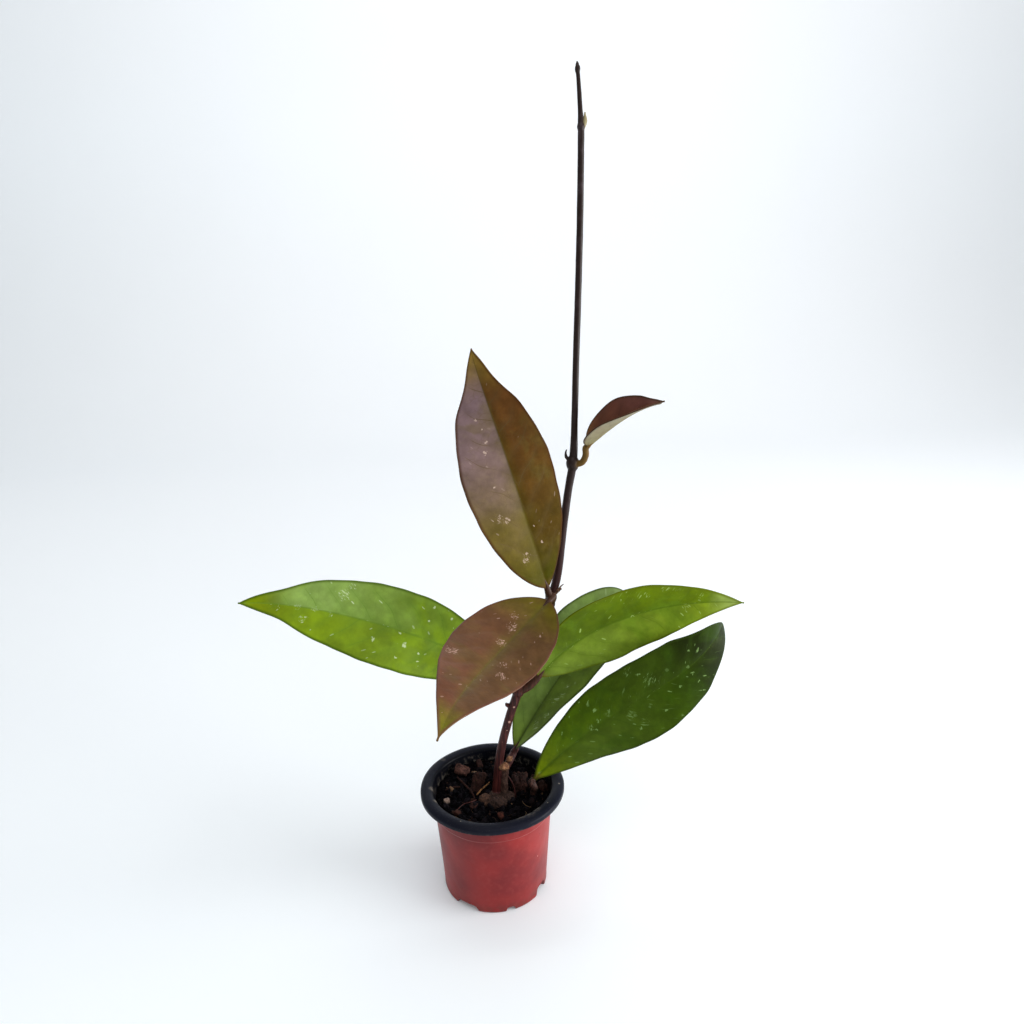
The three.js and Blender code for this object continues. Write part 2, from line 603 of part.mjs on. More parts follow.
// A rough block: a divided box with its corners and faces pushed about a little
function barkSolid(piece, extra = 0) {
  const draw = seededNumbers(piece.seed * 7919);
  const size = point(piece.size).addScalar(extra);
  const geometry = mergeVertices(
    new THREE.BoxGeometry(1, 1, 1, 3, 2, 3).deleteAttribute('normal').deleteAttribute('uv'), 1e-4,
  );
  const places = geometry.attributes.position;
  const spot = new THREE.Vector3();
  for (let k = 0; k < places.count; k += 1) {
    spot.fromBufferAttribute(places, k);
    const round = 1 - BARK_ROUNDING * Math.max(0, spot.length() - 0.5);
    spot.multiplyScalar(round * (1 + BARK_ROUGHNESS * (draw() - 0.4)));
    spot.multiply(size);
    places.setXYZ(k, spot.x, spot.y, spot.z);
  }
  const [rx, ry, rz] = piece.turn.map(radians);
  geometry.rotateX(rx).rotateY(ry).rotateZ(rz);
  geometry.translate(...piece.at);
  return toSolid(geometry);
}

const twigSolid = (twig, extra = 0) => stalkSolid(twig.points, twig.radii, SHOOT_SIDES, SHOOT_STEP, extra);

// Assembly
const plant = new THREE.Group();
plant.name = 'potted_hoya';

function addPiece(name, geometry, material) {
  const mesh = new THREE.Mesh(geometry, material);
  mesh.name = name;
  plant.add(mesh);
}

const holes = [
  rootedStem(STEM.slice(0, STEM_IN_MIX), CLEARANCE),
  stalkOf('leaf_front', FRONT_STALK, CLEARANCE),
];
for (const piece of Object.values(BARK)) holes.push(barkSolid(piece, BARK_HOLE));
for (const twig of Object.values(TWIGS)) holes.push(twigSolid(twig, CLEARANCE));

addPiece('pot', toGeometry(potSolid()), POT_RED);
addPiece('soil', toGeometry(soilSolid(holes)), SOIL_DARK);
addPiece('vine', toGeometry(vineSolid()), VINE_BROWN);
addPiece('front_stalk', toGeometry(stalkOf('leaf_front', FRONT_STALK, 0)), STALK_BROWN);

const BLADE_MATERIALS = {
  leaf_left: LEAF_BRIGHT,
  leaf_right: LEAF_BRIGHT,
  leaf_rear: LEAF_DARK,
  leaf_front: LEAF_DARK,
  leaf_lower_bronze: LEAF_BRONZE,
  leaf_upper_bronze: LEAF_BRONZE,
  leaf_young: LEAF_MAROON,
};
for (const [name, blade] of Object.entries(BLADES)) {
  addPiece(name, toGeometry(toSolid(bladeGeometry(blade))), BLADE_MATERIALS[name]);
}
for (const [name, piece] of Object.entries(BARK)) {
  addPiece(name, toGeometry(barkSolid(piece)), name === 'pebble' ? GRIT : BARK_BROWN);
}
for (const [name, twig] of Object.entries(TWIGS)) {
  addPiece(name, toGeometry(twigSolid(twig)), name === 'pale_root' ? PALE_TAN : BARK_BROWN);
}

export default plant;
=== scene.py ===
"""Potted hoya pubicalyx: the finished surfaces of a young wax vine in a nursery pot.

The construction model is loaded first and is never changed. Each finished piece is built in
its place, at its real size. The tables below are in millimetres and degrees, as on the
construction drawing, and MM turns a length into Blender's metres.
"""

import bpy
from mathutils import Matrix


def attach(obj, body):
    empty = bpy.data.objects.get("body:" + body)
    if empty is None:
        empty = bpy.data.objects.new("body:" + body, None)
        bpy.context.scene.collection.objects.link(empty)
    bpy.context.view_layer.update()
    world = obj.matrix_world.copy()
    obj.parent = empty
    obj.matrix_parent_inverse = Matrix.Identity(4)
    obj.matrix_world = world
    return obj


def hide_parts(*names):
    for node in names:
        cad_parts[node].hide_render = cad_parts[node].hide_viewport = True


bl_info = {
    "name": "Potted Hoya",
    "version": (1, 0, 0),
    "blender": (4, 5, 0),
    "location": "View3D > Sidebar > Potted Hoya",
    "description": "Builds the finished surfaces of a young wax vine in a nursery pot",
    "category": "Add Mesh",
}

import math

import bpy
import numpy as np
from bpy.props import FloatProperty, FloatVectorProperty, IntProperty, PointerProperty
from mathutils import Matrix, Vector, noise
from mathutils.kdtree import KDTree

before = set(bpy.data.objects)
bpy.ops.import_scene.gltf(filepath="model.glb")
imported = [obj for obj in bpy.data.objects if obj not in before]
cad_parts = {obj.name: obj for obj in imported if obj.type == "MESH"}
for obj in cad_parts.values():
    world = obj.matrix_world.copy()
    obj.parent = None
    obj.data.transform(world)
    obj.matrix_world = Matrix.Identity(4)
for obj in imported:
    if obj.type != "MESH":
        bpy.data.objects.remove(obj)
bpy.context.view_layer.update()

MM = 0.001

# Pot
POT_HEIGHT = 66
RIM_RADIUS = 42.5
RIM_DROP = 4.2
ROLL_HALF_WIDTH = 3.7
ROLL_HEIGHT = 2.2
LIP_THICKNESS = 1.2
BODY_TOP_RADIUS = 35.7
BODY_BASE_RADIUS = 31.2
FOOT_RADIUS = 29.9
CORNER_HEIGHT = 2
FLOOR = 1.2
STEP_HEIGHT = 51
STEP_DEPTH = 0.35
WALL = 1
FLUTTER_START = 20
RECESS_DEPTH = 7
DRAIN_RADIUS = 1.7
DRAIN_MARGIN = 0.9
RECESS_REACH = 12
RECESS_END_SLOPE = 0.5
RECESSES = (
    {"angle": -125, "width": 14, "height": 3},
    {"angle": -75, "width": 5, "height": 2.2},
    {"angle": -31, "width": 10, "height": 5},
    {"angle": 21, "width": 12, "height": 3},
    {"angle": 73, "width": 12, "height": 3},
    {"angle": 124, "width": 12, "height": 3},
    {"angle": 178, "width": 10, "height": 4},
)

# Potting mix
SOIL_LEVEL = 56.5
SOIL_SLOPE = 0.06
SOIL_GAP = 0.15
SOIL_SIDES = 216
SOIL_RINGS = 84
CRUMB_SIZES = (2.2, 5.2)
GRAIN_SIZES = (0.7, 1.9)
FIBRE_LENGTH = 4.5
FIBRE_THICKNESS = 0.14
FIBRE_CLEARANCE = 6
EDGE_DIP = 0.8
EDGE_DIP_WIDTH = 2.5

# Foot of the mix: radius, height, and how much of the recesses' lift it follows
SOIL_FOOT = (
    (20.5, 1.5, 0), (21.3, 1.5, 0), (21.7, 1.6, 1), (28.9, 1.6, 1), (29.7, 3.6, 0.9),
    (31, 20, 0), (33, 45, 0),
)

# Vine: centre line and radius of the stem, then what grows from it
STEM = (
    ((0.4, 0.6, 20), 2.0),
    ((1.5, 0, 46), 2.5),
    ((2.2, 0, 57), 2.7),
    ((5.3, 0, 83.5), 2.55),
    ((10.6, 0, 105), 2.5),
    ((16.9, 0, 124), 2.6),
    ((26.5, 0.8, 151), 2.35),
    ((35.5, 0.3, 177), 2.4),
    ((40.0, 0, 192), 2.3),
    ((43.7, 0, 219.5), 2.2),
    ((46.8, 0, 241.5), 2.1),
    ((49.4, 0, 256.5), 2.2),
    ((50.4, 0, 278.5), 1.75),
    ((51.2, 0, 305), 1.7),
    ((52.5, 0, 338.5), 1.7),
    ((53.7, 0, 375.5), 1.65),
    ((54.3, 0, 406.5), 1.6),
    ((54.4, 0, 416), 1.6),
    ((54.0, 0, 425), 1.15),
    ((53.3, 0, 436), 1.0),
    ((53.0, 0, 439.5), 1.0),
)
STUMP = (((6.4, -1.0, 44), 2.2), ((7.0, -1.2, 58), 2.3), ((7.4, -0.8, 70), 2.1), ((8.4, 0.2, 76.5), 2.2))
STEM_JOINTS = (
    {"at": (16.9, 0, 124), "size": (3.5, 3.3, 3.4)},
    {"at": (35.7, 0.1, 177.5), "size": (3.4, 3.3, 4.0)},
    {"at": (49.2, 0, 255.8), "size": (3.7, 3.2, 4.6)},
    {"at": (54.4, 0, 416.5), "size": (2.0, 1.9, 2.2)},
    {"at": (52.9, 0, 440.6), "size": (1.35, 1.3, 2.2)},
)
CALLUSES = (
    {"at": (7.5, -1.6, 76.8), "size": (2.4, 2.1, 2.3)},
    {"at": (10.4, 0.6, 80.6), "size": (1.8, 1.8, 1.8)},
)
CROWN = (
    {"at": (2.6, -8.0, 57.0), "size": (6.2, 4.4, 3.8)},
    {"at": (9.0, -4.6, 57.4), "size": (4.4, 4.0, 3.4)},
    {"at": (-4.6, -5.4, 57.0), "size": (3.8, 4.2, 3.6), "pale": 0.15},
    {"at": (2.6, -1.2, 55.0), "size": (7.0, 5.4, 4.6)},
)
ROOTS = (
    {"angle": 20, "reach": 17, "bottom": 26, "radius": 1.3},
    {"angle": 165, "reach": 18, "bottom": 22, "radius": 1.4},
    {"angle": 235, "reach": 14, "bottom": 30, "radius": 1.1},
    {"angle": 305, "reach": 16, "bottom": 18, "radius": 1.3},
)
ROOT_START = 44
STEM_SIDES = 18
THREAD_SIDES = 10
STALKS = {
    "leaf_left": {"points": ((16.9, 0, 124), (12.6, 1.2, 128.0)), "radius": 2.2},
    "leaf_right": {"points": ((16.9, 0, 124), (22.6, -1.5, 127.6)), "radius": 2.3},
    "leaf_lower_bronze": {
        "points": ((35.6, -0.6, 176.5), (37.3, -5.2, 182.2), (37.0, -9.0, 185.2)),
        "radius": 1.9,
    },
    "leaf_upper_bronze": {"points": ((35.4, -0.8, 176.5), (35.0, -5.4, 182)), "radius": 2.0},
    "leaf_young": {
        "points": ((50.4, -0.8, 255.4), (53.8, -2.2, 256.6), (55.6, -3.4, 260.4)),
        "radius": 1.75, "approach": 1.2,
    },
    "leaf_rear": {"points": ((8.2, 0.6, 73.5), (10.4, 2.4, 77.0)), "radius": 2.2},
}

# Thin growths that are too fine to be fused into the stem: points, then radii
TENDRILS = {
    "bud_at_top_joint": (((55.0, 0, 415.5), (56.1, 0, 418.5), (56.3, 0, 422.6)), (1.1, 1.25, 0.35)),
    "growing_tip": (((52.9, 0, 441), (52.8, 0, 442.6), (52.7, 0, 443.8)), (1.1, 0.8, 0.3)),
    "hooked_stipule": (
        ((48.0, 0, 257.5), (46.0, -0.2, 259.2), (45.6, -0.2, 261.8), (46.2, -0.2, 263.4)),
        (1.3, 0.9, 0.5, 0.25),
    ),
    "spent_spur": (((38.4, -0.4, 183.6), (40.4, -1.3, 185.4), (42.2, -1.8, 186.6)), (1.6, 1.2, 0.6)),
    "spur_thread": (((40.4, -1.2, 185.0), (41.8, -1.8, 187.6), (43.4, -2.2, 189.2)), (0.5, 0.4, 0.25)),
    "leaf_scar": (((12.2, 0, 115.2), (10.4, -0.2, 116.2), (9.7, -0.2, 117.2)), (1.6, 1.2, 0.6)),
    "wire_root": (
        ((9.5, -1.5, 70), (11.8, -2.2, 66), (13.0, -2.6, 61), (13.6, -3.2, 56)),
        (0.35, 0.4, 0.4, 0.35),
    ),
    "thread_root": (
        ((-9.6, -6.0, 58.4), (-12.4, -8.6, 59.2), (-17.0, -9.8, 58.8), (-20.6, -13.0, 57.8)),
        (0.3, 0.28, 0.25, 0.2),
    ),
}

# Blades: the same angles and shape numbers as on the drawing
BLADES = {
    "leaf_left": {
        "base": (8.7, 2.2, 132.3), "length": 152, "width": 44.7,
        "heading": (185, 186, 0, 11), "rise": (41, 24, -9, -18), "roll": (-71.5, -60, 0, 0),
        "fold": 12, "curl": 0, "shoulder": 0.8, "taper": 1.0, "skew": 0, "point": 0.14,
        "wave": 1.0, "waves": 2.6, "phase": 0.1,
    },
    "leaf_right": {
        "base": (28.9, -2.8, 134.2), "length": 125.5, "width": 44,
        "heading": (-2, -3, -3, 1), "rise": (52.5, -2.5, -5, -4.5), "roll": (111, 97.5, 0, 0),
        "fold": 11, "curl": 0.02, "shoulder": 0.71, "taper": 1.09, "skew": 0,
        "wave": 0.6, "waves": 3, "phase": 0,
    },
    "leaf_lower_bronze": {
        "base": (34.2, -11.9, 184.1), "length": 128, "width": 48.4,
        "heading": (-139, -101, 6, -4), "rise": (-24, 23.5, 2.5, -39.5), "roll": (-13.5, -27.5, 0, 0),
        "fold": 8.5, "curl": 0.05, "shoulder": 0.62, "taper": 1.25, "skew": 0.04,
        "wave": 0.9, "waves": 1.6, "phase": 0.84,
    },
    "leaf_upper_bronze": {
        "base": (34.2, -9.3, 190.2), "length": 132.2, "width": 49.7,
        "heading": (190, 164, 4, -40.5), "rise": (75, 68, 2, 3), "roll": (-63, -88, 0, 0),
        "fold": 9, "curl": 0.1, "shoulder": 0.72, "taper": 0.91, "skew": -0.09, "point": 0.17,
        "wave": 0.9, "waves": 2.3, "phase": 0.5,
    },
    "leaf_rear": {
        "base": (14.2, 7.8, 82.1), "length": 115.5, "width": 46,
        "heading": (22, 28, -2, 0), "rise": (55, 35, 2.5, -5.5), "roll": (3.5, 38, 0, 0),
        "fold": 14.5, "curl": -0.07, "shoulder": 0.71, "taper": 0.52, "skew": -0.03,
        "wave": 0.7, "waves": 3.1, "phase": 0,
    },
    "leaf_front": {
        "base": (24.6, -8.7, 72), "length": 143.5, "width": 48,
        "heading": (5.5, 6.5, -15, 47.5), "rise": (46.5, 33.5, -4.5, 9.5), "roll": (91.5, 89.5, 0, 0),
        "fold": 5, "curl": 0.07, "shoulder": 0.8, "taper": 0.57, "skew": 0.02, "point": 0.1,
        "wave": 1.8, "waves": 1.9, "phase": 0.08,
    },
    "leaf_young": {
        "base": (55.7, -4.9, 266.1), "length": 48.5, "width": 26.2,
        "heading": (-27, -25.5, -8.5, -0.5), "rise": (41.5, 15.5, 5, -7.5), "roll": (15, 43, 0, 0),
        "fold": 33.5, "curl": 0, "shoulder": 0.56, "taper": 1.12, "skew": 0, "point": 0.15,
        "wave": 0.3, "waves": 2, "phase": 0.2,
    },
}
HOOK_POWER = 5
POINT_START = 0.76
BASE_HALF_WIDTH = 1.5
TIP_HALF_WIDTH = 0.45
RIB_THICKNESS = 1.7
EDGE_THICKNESS = 0.75
WAVE_SIDE_SHIFT = 1.5


def screen(red, green, blue):
    """A linear colour from its 0 to 255 value on a screen."""
    shares = (red / 255, green / 255, blue / 255)
    return tuple(s / 12.92 if s <= 0.04045 else ((s + 0.055) / 1.055) ** 2.4 for s in shares)


# Colours of the blades. The first of a pair is the half on the negative side of the midrib;
# near and far are a quarter and three quarters of the way to the tip. The pairs are partly the
# blades' own colours and partly painted light: on the folded blades one half is painted lighter,
# some with a painted sheen, and the other half painted darker, as light falls across the fold.
# Glow is how far the midrib's colour spreads, net is the finest veins, and a blotch is a drift of
# a second colour. Dots and spots are small and large flecks with their strength and rarity,
# patches and streaks are groups and lines of them, and stretch is how short they are across the
# blade.
LEAF_LOOKS = {
    "leaf_left": {
        "slot": "leaf_bright_green", "seed": 3,
        "near": (screen(98, 122, 38), screen(104, 130, 34)),
        # the second far colour is a painted grey-green sheen
        "far": (screen(110, 134, 18), screen(126, 152, 76)),
        "base": screen(106, 114, 46), "tip": screen(98, 114, 4), "tip_from": (0.78, 0.96),
        "rib": screen(88, 118, 36), "glow": 0.25, "rib_line": 0.5,
        "vein": screen(78, 112, 34), "vein_strength": 0.45, "net": 0.12,
        "blotch": (screen(122, 150, 16), 0.5), "margin": screen(50, 74, 10),
        "under": screen(120, 140, 70), "shine": 0.13,
        "fleck": screen(206, 220, 178), "dots": (0.7, 0.74), "spots": (0.4, 0.85), "stretch": 0.7,
    },
    "leaf_right": {
        "slot": "leaf_bright_green", "seed": 11,
        # the second near and far colours are painted lighter, with a painted sheen
        "near": (screen(70, 90, 4), screen(112, 135, 42)),
        "far": (screen(92, 113, 0), screen(114, 134, 28)),
        "base": screen(104, 124, 46), "tip": screen(142, 160, 80), "tip_from": (0.84, 0.97),
        "rib": screen(74, 98, 14), "glow": 0.35, "rib_line": 0.7,
        "vein": screen(74, 100, 12), "vein_strength": 0.5, "net": 0.05,
        "blotch": (screen(92, 122, 24), 0.5), "margin": screen(84, 96, 8),
        "under": screen(120, 140, 70), "shine": 0.09,
        "fleck": screen(166, 192, 104), "dots": (0.8, 0.5), "spots": (0.2, 0.8), "stretch": 0.4,
        "patches": 0.15, "streaks": 0.5,
    },
    "leaf_lower_bronze": {
        "slot": "leaf_bronze", "seed": 23,
        "near": (screen(89, 63, 40), screen(93, 61, 42)),
        "far": (screen(91, 63, 42), screen(94, 58, 42)),
        "base": screen(100, 92, 18), "tip": screen(104, 104, 20), "tip_from": (0.8, 0.95),
        "rib": screen(92, 88, 32), "glow": 0.3, "rib_line": 0.35,
        "vein": screen(90, 62, 38), "vein_strength": 0.2, "net": 0.06,
        "blotch": (screen(92, 74, 38), 0.45), "margin": screen(92, 56, 46),
        "under": screen(132, 98, 82), "shine": 0.14,
        "fleck": screen(206, 170, 156), "dots": (0.35, 0.74), "spots": (0.1, 0.85), "stretch": 0.9,
    },
    "leaf_upper_bronze": {
        "slot": "leaf_bronze", "seed": 37,
        # the first near and far colours are painted lighter, the far one with a painted grey-mauve
        # reflection
        "near": (screen(88, 74, 28), screen(70, 52, 14)),
        "far": (screen(124, 101, 104), screen(92, 58, 28)),
        "base": screen(58, 58, 0), "tip": screen(146, 116, 50), "tip_from": (0.8, 0.98),
        "rib": screen(66, 58, 10), "glow": 0.4, "rib_line": 0.5,
        "vein": screen(86, 70, 44), "vein_strength": 0.6, "net": 0.2,
        "blotch": (screen(98, 84, 40), 0.4), "margin": screen(66, 36, 20),
        "under": screen(132, 98, 82), "shine": 0.05,
        "fleck": screen(196, 172, 156), "dots": (0.3, 0.74), "spots": (0.0, 0.85), "stretch": 0.8,
    },
    "leaf_rear": {
        "slot": "leaf_dark_green", "seed": 41,
        "near": (screen(118, 144, 68), screen(76, 96, 20)),
        "far": (screen(120, 144, 80), screen(90, 112, 40)),
        "base": screen(118, 145, 54), "tip": screen(118, 138, 84), "tip_from": (0.8, 1.0),
        "rib": screen(56, 72, 24), "glow": 0.5, "rib_line": 0.7,
        "vein": screen(56, 80, 26), "vein_strength": 0.3, "net": 0.05,
        "blotch": (screen(100, 128, 44), 0.3), "margin": screen(44, 60, 22),
        "under": screen(104, 126, 70), "shine": 0.12,
        "fleck": screen(164, 186, 134), "dots": (0.75, 0.55), "spots": (0.3, 0.7), "stretch": 0.25,
        "patches": 0.4, "streaks": 0.65,
    },
    "leaf_front": {
        "slot": "leaf_dark_green", "seed": 53,
        "near": (screen(61, 83, 4), screen(66, 86, 20)),
        "far": (screen(34, 50, 2), screen(40, 60, 0)),
        "base": screen(96, 112, 4), "tip": screen(14, 26, 0), "tip_from": (0.66, 0.86),
        "rib": screen(50, 70, 8), "glow": 0.4, "rib_line": 0.45,
        "vein": screen(44, 66, 8), "vein_strength": 0.55, "net": 0.12,
        "blotch": (screen(44, 70, 6), 0.5), "margin": screen(34, 50, 8),
        "under": screen(96, 120, 56), "shine": 0.09,
        "fleck": screen(122, 152, 88), "dots": (0.8, 0.4), "spots": (0.5, 0.66), "stretch": 0.5,
        "patches": 0.1, "streaks": 0.3,
    },
    "leaf_young": {
        "slot": "leaf_maroon", "seed": 61,
        "near": (screen(92, 51, 36), screen(92, 51, 36)),
        "far": (screen(97, 57, 53), screen(97, 57, 53)),
        "base": screen(110, 74, 40), "tip": screen(126, 88, 82), "tip_from": (0.8, 1.0),
        "rib": screen(98, 62, 38), "glow": 0.2, "rib_line": 0.7,
        "vein": screen(64, 32, 28), "vein_strength": 0.3, "net": 0.08,
        "blotch": (screen(82, 40, 34), 0.4), "margin": screen(52, 34, 24),
        "under": screen(122, 114, 82), "shine": 0.14,
        "fleck": screen(150, 110, 96), "dots": (0.1, 0.7), "spots": (0.0, 0.8), "stretch": 0.5,
        "streaks": 0.2,
    },
}

# Where the largest flecks lie: millimetres across from the midrib, along from the base, and
# their radius. Clumps are groups of small flecks and blots are single ones.
CLUMPS = {
    "leaf_left": (
        (11, 100, 4.5), (0, 122, 2), (0, 113, 2.4), (-1, 105, 2), (-6, 118, 3), (16, 97, 2.5),
        (-2, 132, 2),
    ),
    "leaf_right": ((-14, 84, 3), (-13, 89, 3), (-6, 102, 2.5), (-12, 74, 3), (2, 94, 3)),
    "leaf_lower_bronze": (
        (17, 66, 5), (4, 27, 4.5), (3, 40, 4), (-7, 56, 4), (-10, 65, 4.5), (7, 20, 3.5), (-12, 25, 2),
    ),
    "leaf_upper_bronze": ((-15, 48, 4), (-7, 22, 4), (-10, 45, 3)),
    "leaf_rear": ((11, 49, 3), (13, 43, 3), (12, 28, 4), (7, 20, 4), (10, 39, 3)),
    "leaf_front": (
        (-8, 90, 6), (4, 69, 4.5), (12, 73, 3.5), (-20, 83, 3.5), (-4, 59, 3), (-3, 52, 2.5),
        (-2, 46, 3),
    ),
    "leaf_young": ((8, 20, 1),),
}
BLOTS = {
    "leaf_left": (
        (-7, 61, 1.8), (-1, 65, 0.9), (-9, 79, 1.2), (-15, 64, 1.1), (-13, 51, 1), (10, 53, 1.2),
        (18, 53, 0.9), (16, 42, 0.9), (-9, 52, 0.7),
    ),
    "leaf_right": ((0, 64, 0.8), (-2, 101, 0.8), (-15, 62, 0.7)),
    "leaf_lower_bronze": ((-12, 25, 1), (2, 38, 0.7)),
    "leaf_upper_bronze": (
        (3, 36, 0.9), (5, 26, 1.1), (-8, 98, 0.7), (-7, 93, 0.7), (-7, 86, 0.9), (-9, 81, 1),
        (-10, 63, 0.6),
    ),
    "leaf_rear": ((11, 49, 0.9), (12, 30, 0.9)),
    "leaf_front": (
        (-10, 54, 1.6), (4, 111, 1.1), (-9, 117, 1.1), (-19, 50, 1.4), (11, 111, 0.9), (6, 101, 0.9),
        (1, 47, 0.9), (-15, 87, 1), (13, 87, 1.2), (18, 110, 0.8), (14, 69, 1),
    ),
    "leaf_young": ((8, 20, 0.3),),
}
VEIN_SPACING = 15
VEIN_RISE = 0.75
VEIN_ARCH = 0.012
VEIN_SIDE_SHIFT = 0.45

# Camera: how far the reference view stands off, how it is turned, and its focal length
CAMERA_AT = (0, -393, 343)
CAMERA_YAW = 2.42
CAMERA_PITCH = 15.94
CAMERA_ROLL = -1.75
FOCAL_PIXELS = 769
FRAME_PIXELS = 1024
SENSOR_WIDTH = 36


def length(name, description, millimetres):
    """A length property with its default given in millimetres."""
    return FloatProperty(
        name=name, description=description, default=millimetres * MM, min=0, unit="LENGTH", precision=5
    )


def colour(name, description, default):
    """A colour property."""
    return FloatVectorProperty(
        name=name, description=description, subtype="COLOR", size=3, min=0, max=1, default=default
    )


def share(name, description, default):
    """A number from 0 to 1."""
    return FloatProperty(
        name=name, description=description, default=default, min=0, max=1, subtype="FACTOR"
    )


def amount(name, description, default):
    """A number of at least 0."""
    return FloatProperty(name=name, description=description, default=default, min=0)


def count(name, description, default):
    """A whole number of at least 1."""
    return IntProperty(name=name, description=description, default=default, min=1)


class HoyaPotSettings(bpy.types.PropertyGroup):
    """Sizes and colours of the nursery pot."""

    sides: count("Sides", "Facets round the pot", 264)
    outside: colour("Outside", "Brick red plastic outside", screen(144, 33, 31))
    inside: colour("Inside", "Black plastic of the rim and inside", screen(17, 19, 32))
    dust: colour("Dust", "Dried potting dust on the rim", screen(140, 132, 122))
    gloss: share("Roughness", "Roughness of the red plastic", 0.42)


class HoyaMixSettings(bpy.types.PropertyGroup):
    """The potting mix and what is scattered over it."""

    lumps: length("Lumps", "Height of the small lumps in the surface", 2.4)
    crumbs: count("Crumbs", "Crumbs to a square metre", 90000)
    grains: count("Grains", "Fine grains to a square metre", 500000)
    fibres: count("Fibres", "Loose fibres to a square metre", 30000)
    seed: count("Seed", "Seed of the scatter", 7)
    dark: colour("Dark", "Moist peat", screen(14, 10, 12))
    light: colour("Light", "Dry crumbs", screen(62, 42, 34))


class HoyaVineSettings(bpy.types.PropertyGroup):
    """The stem and the leaf stalks."""

    voxel: length("Voxel", "Size of the voxels that fuse the stem and stalks", 0.36)
    relief: length("Relief", "Depth of the ridges in the bark", 0.09)
    cork_relief: length("Cork relief", "Depth of the lumps in the cork", 1.9)
    lower: colour("Lower stem", "Red-brown bark of the old stem", screen(52, 20, 19))
    upper: colour("Upper stem", "Dark bark of the young shoot", screen(33, 19, 15))
    cork: colour("Cork", "Grey-brown cork of the crown and stump", screen(76, 54, 46))
    tan: colour("Callus", "Pale tan of the calluses", screen(160, 116, 82))
    olive: colour("Young stalk", "Olive of the youngest stalk", screen(98, 72, 26))


class HoyaLeafSettings(bpy.types.PropertyGroup):
    """Detail and gloss of the blades."""

    rows: count("Rows", "Rings along a blade", 190)
    columns: count("Columns", "Strips across a blade", 46)
    groove: length("Midrib groove", "Depth of the midrib's groove on the upper side", 0.22)
    rib: length("Midrib ridge", "Height of the midrib's ridge underneath", 0.45)
    veins: length("Vein relief", "Depth of the side veins", 0.1)
    gloss: share("Roughness", "Roughness of the waxy skin", 0.4)


class HoyaBarkSettings(bpy.types.PropertyGroup):
    """Pieces of bark, grit, twig and root on the mix."""

    relief: length("Relief", "Depth of the bark's cracks", 1.15)
    brown: colour("Brown", "Face of the bark", screen(54, 30, 25))
    dark: colour("Dark", "Cracks of the bark", screen(24, 15, 13))
    grit: colour("Grit", "Pale pebble", screen(142, 120, 108))
    root: colour("Root", "Dry root", screen(158, 114, 74))


class HoyaStageSettings(bpy.types.PropertyGroup):
    """Floor, lights and surroundings."""

    floor: colour("Floor", "Pale floor and backdrop", screen(244, 250, 254))
    sky: amount("Room light", "Strength of the room's light", 0.41)
    side: amount("Side light", "Power of the side light in watts", 18)
    top: amount("Top light", "Power of the top light in watts", 12)
    backdrop: amount("Backdrop light", "Power of the backdrop's light in watts", 15)
    glow: share("Floor glow", "Light the floor gives by itself", 0.07)


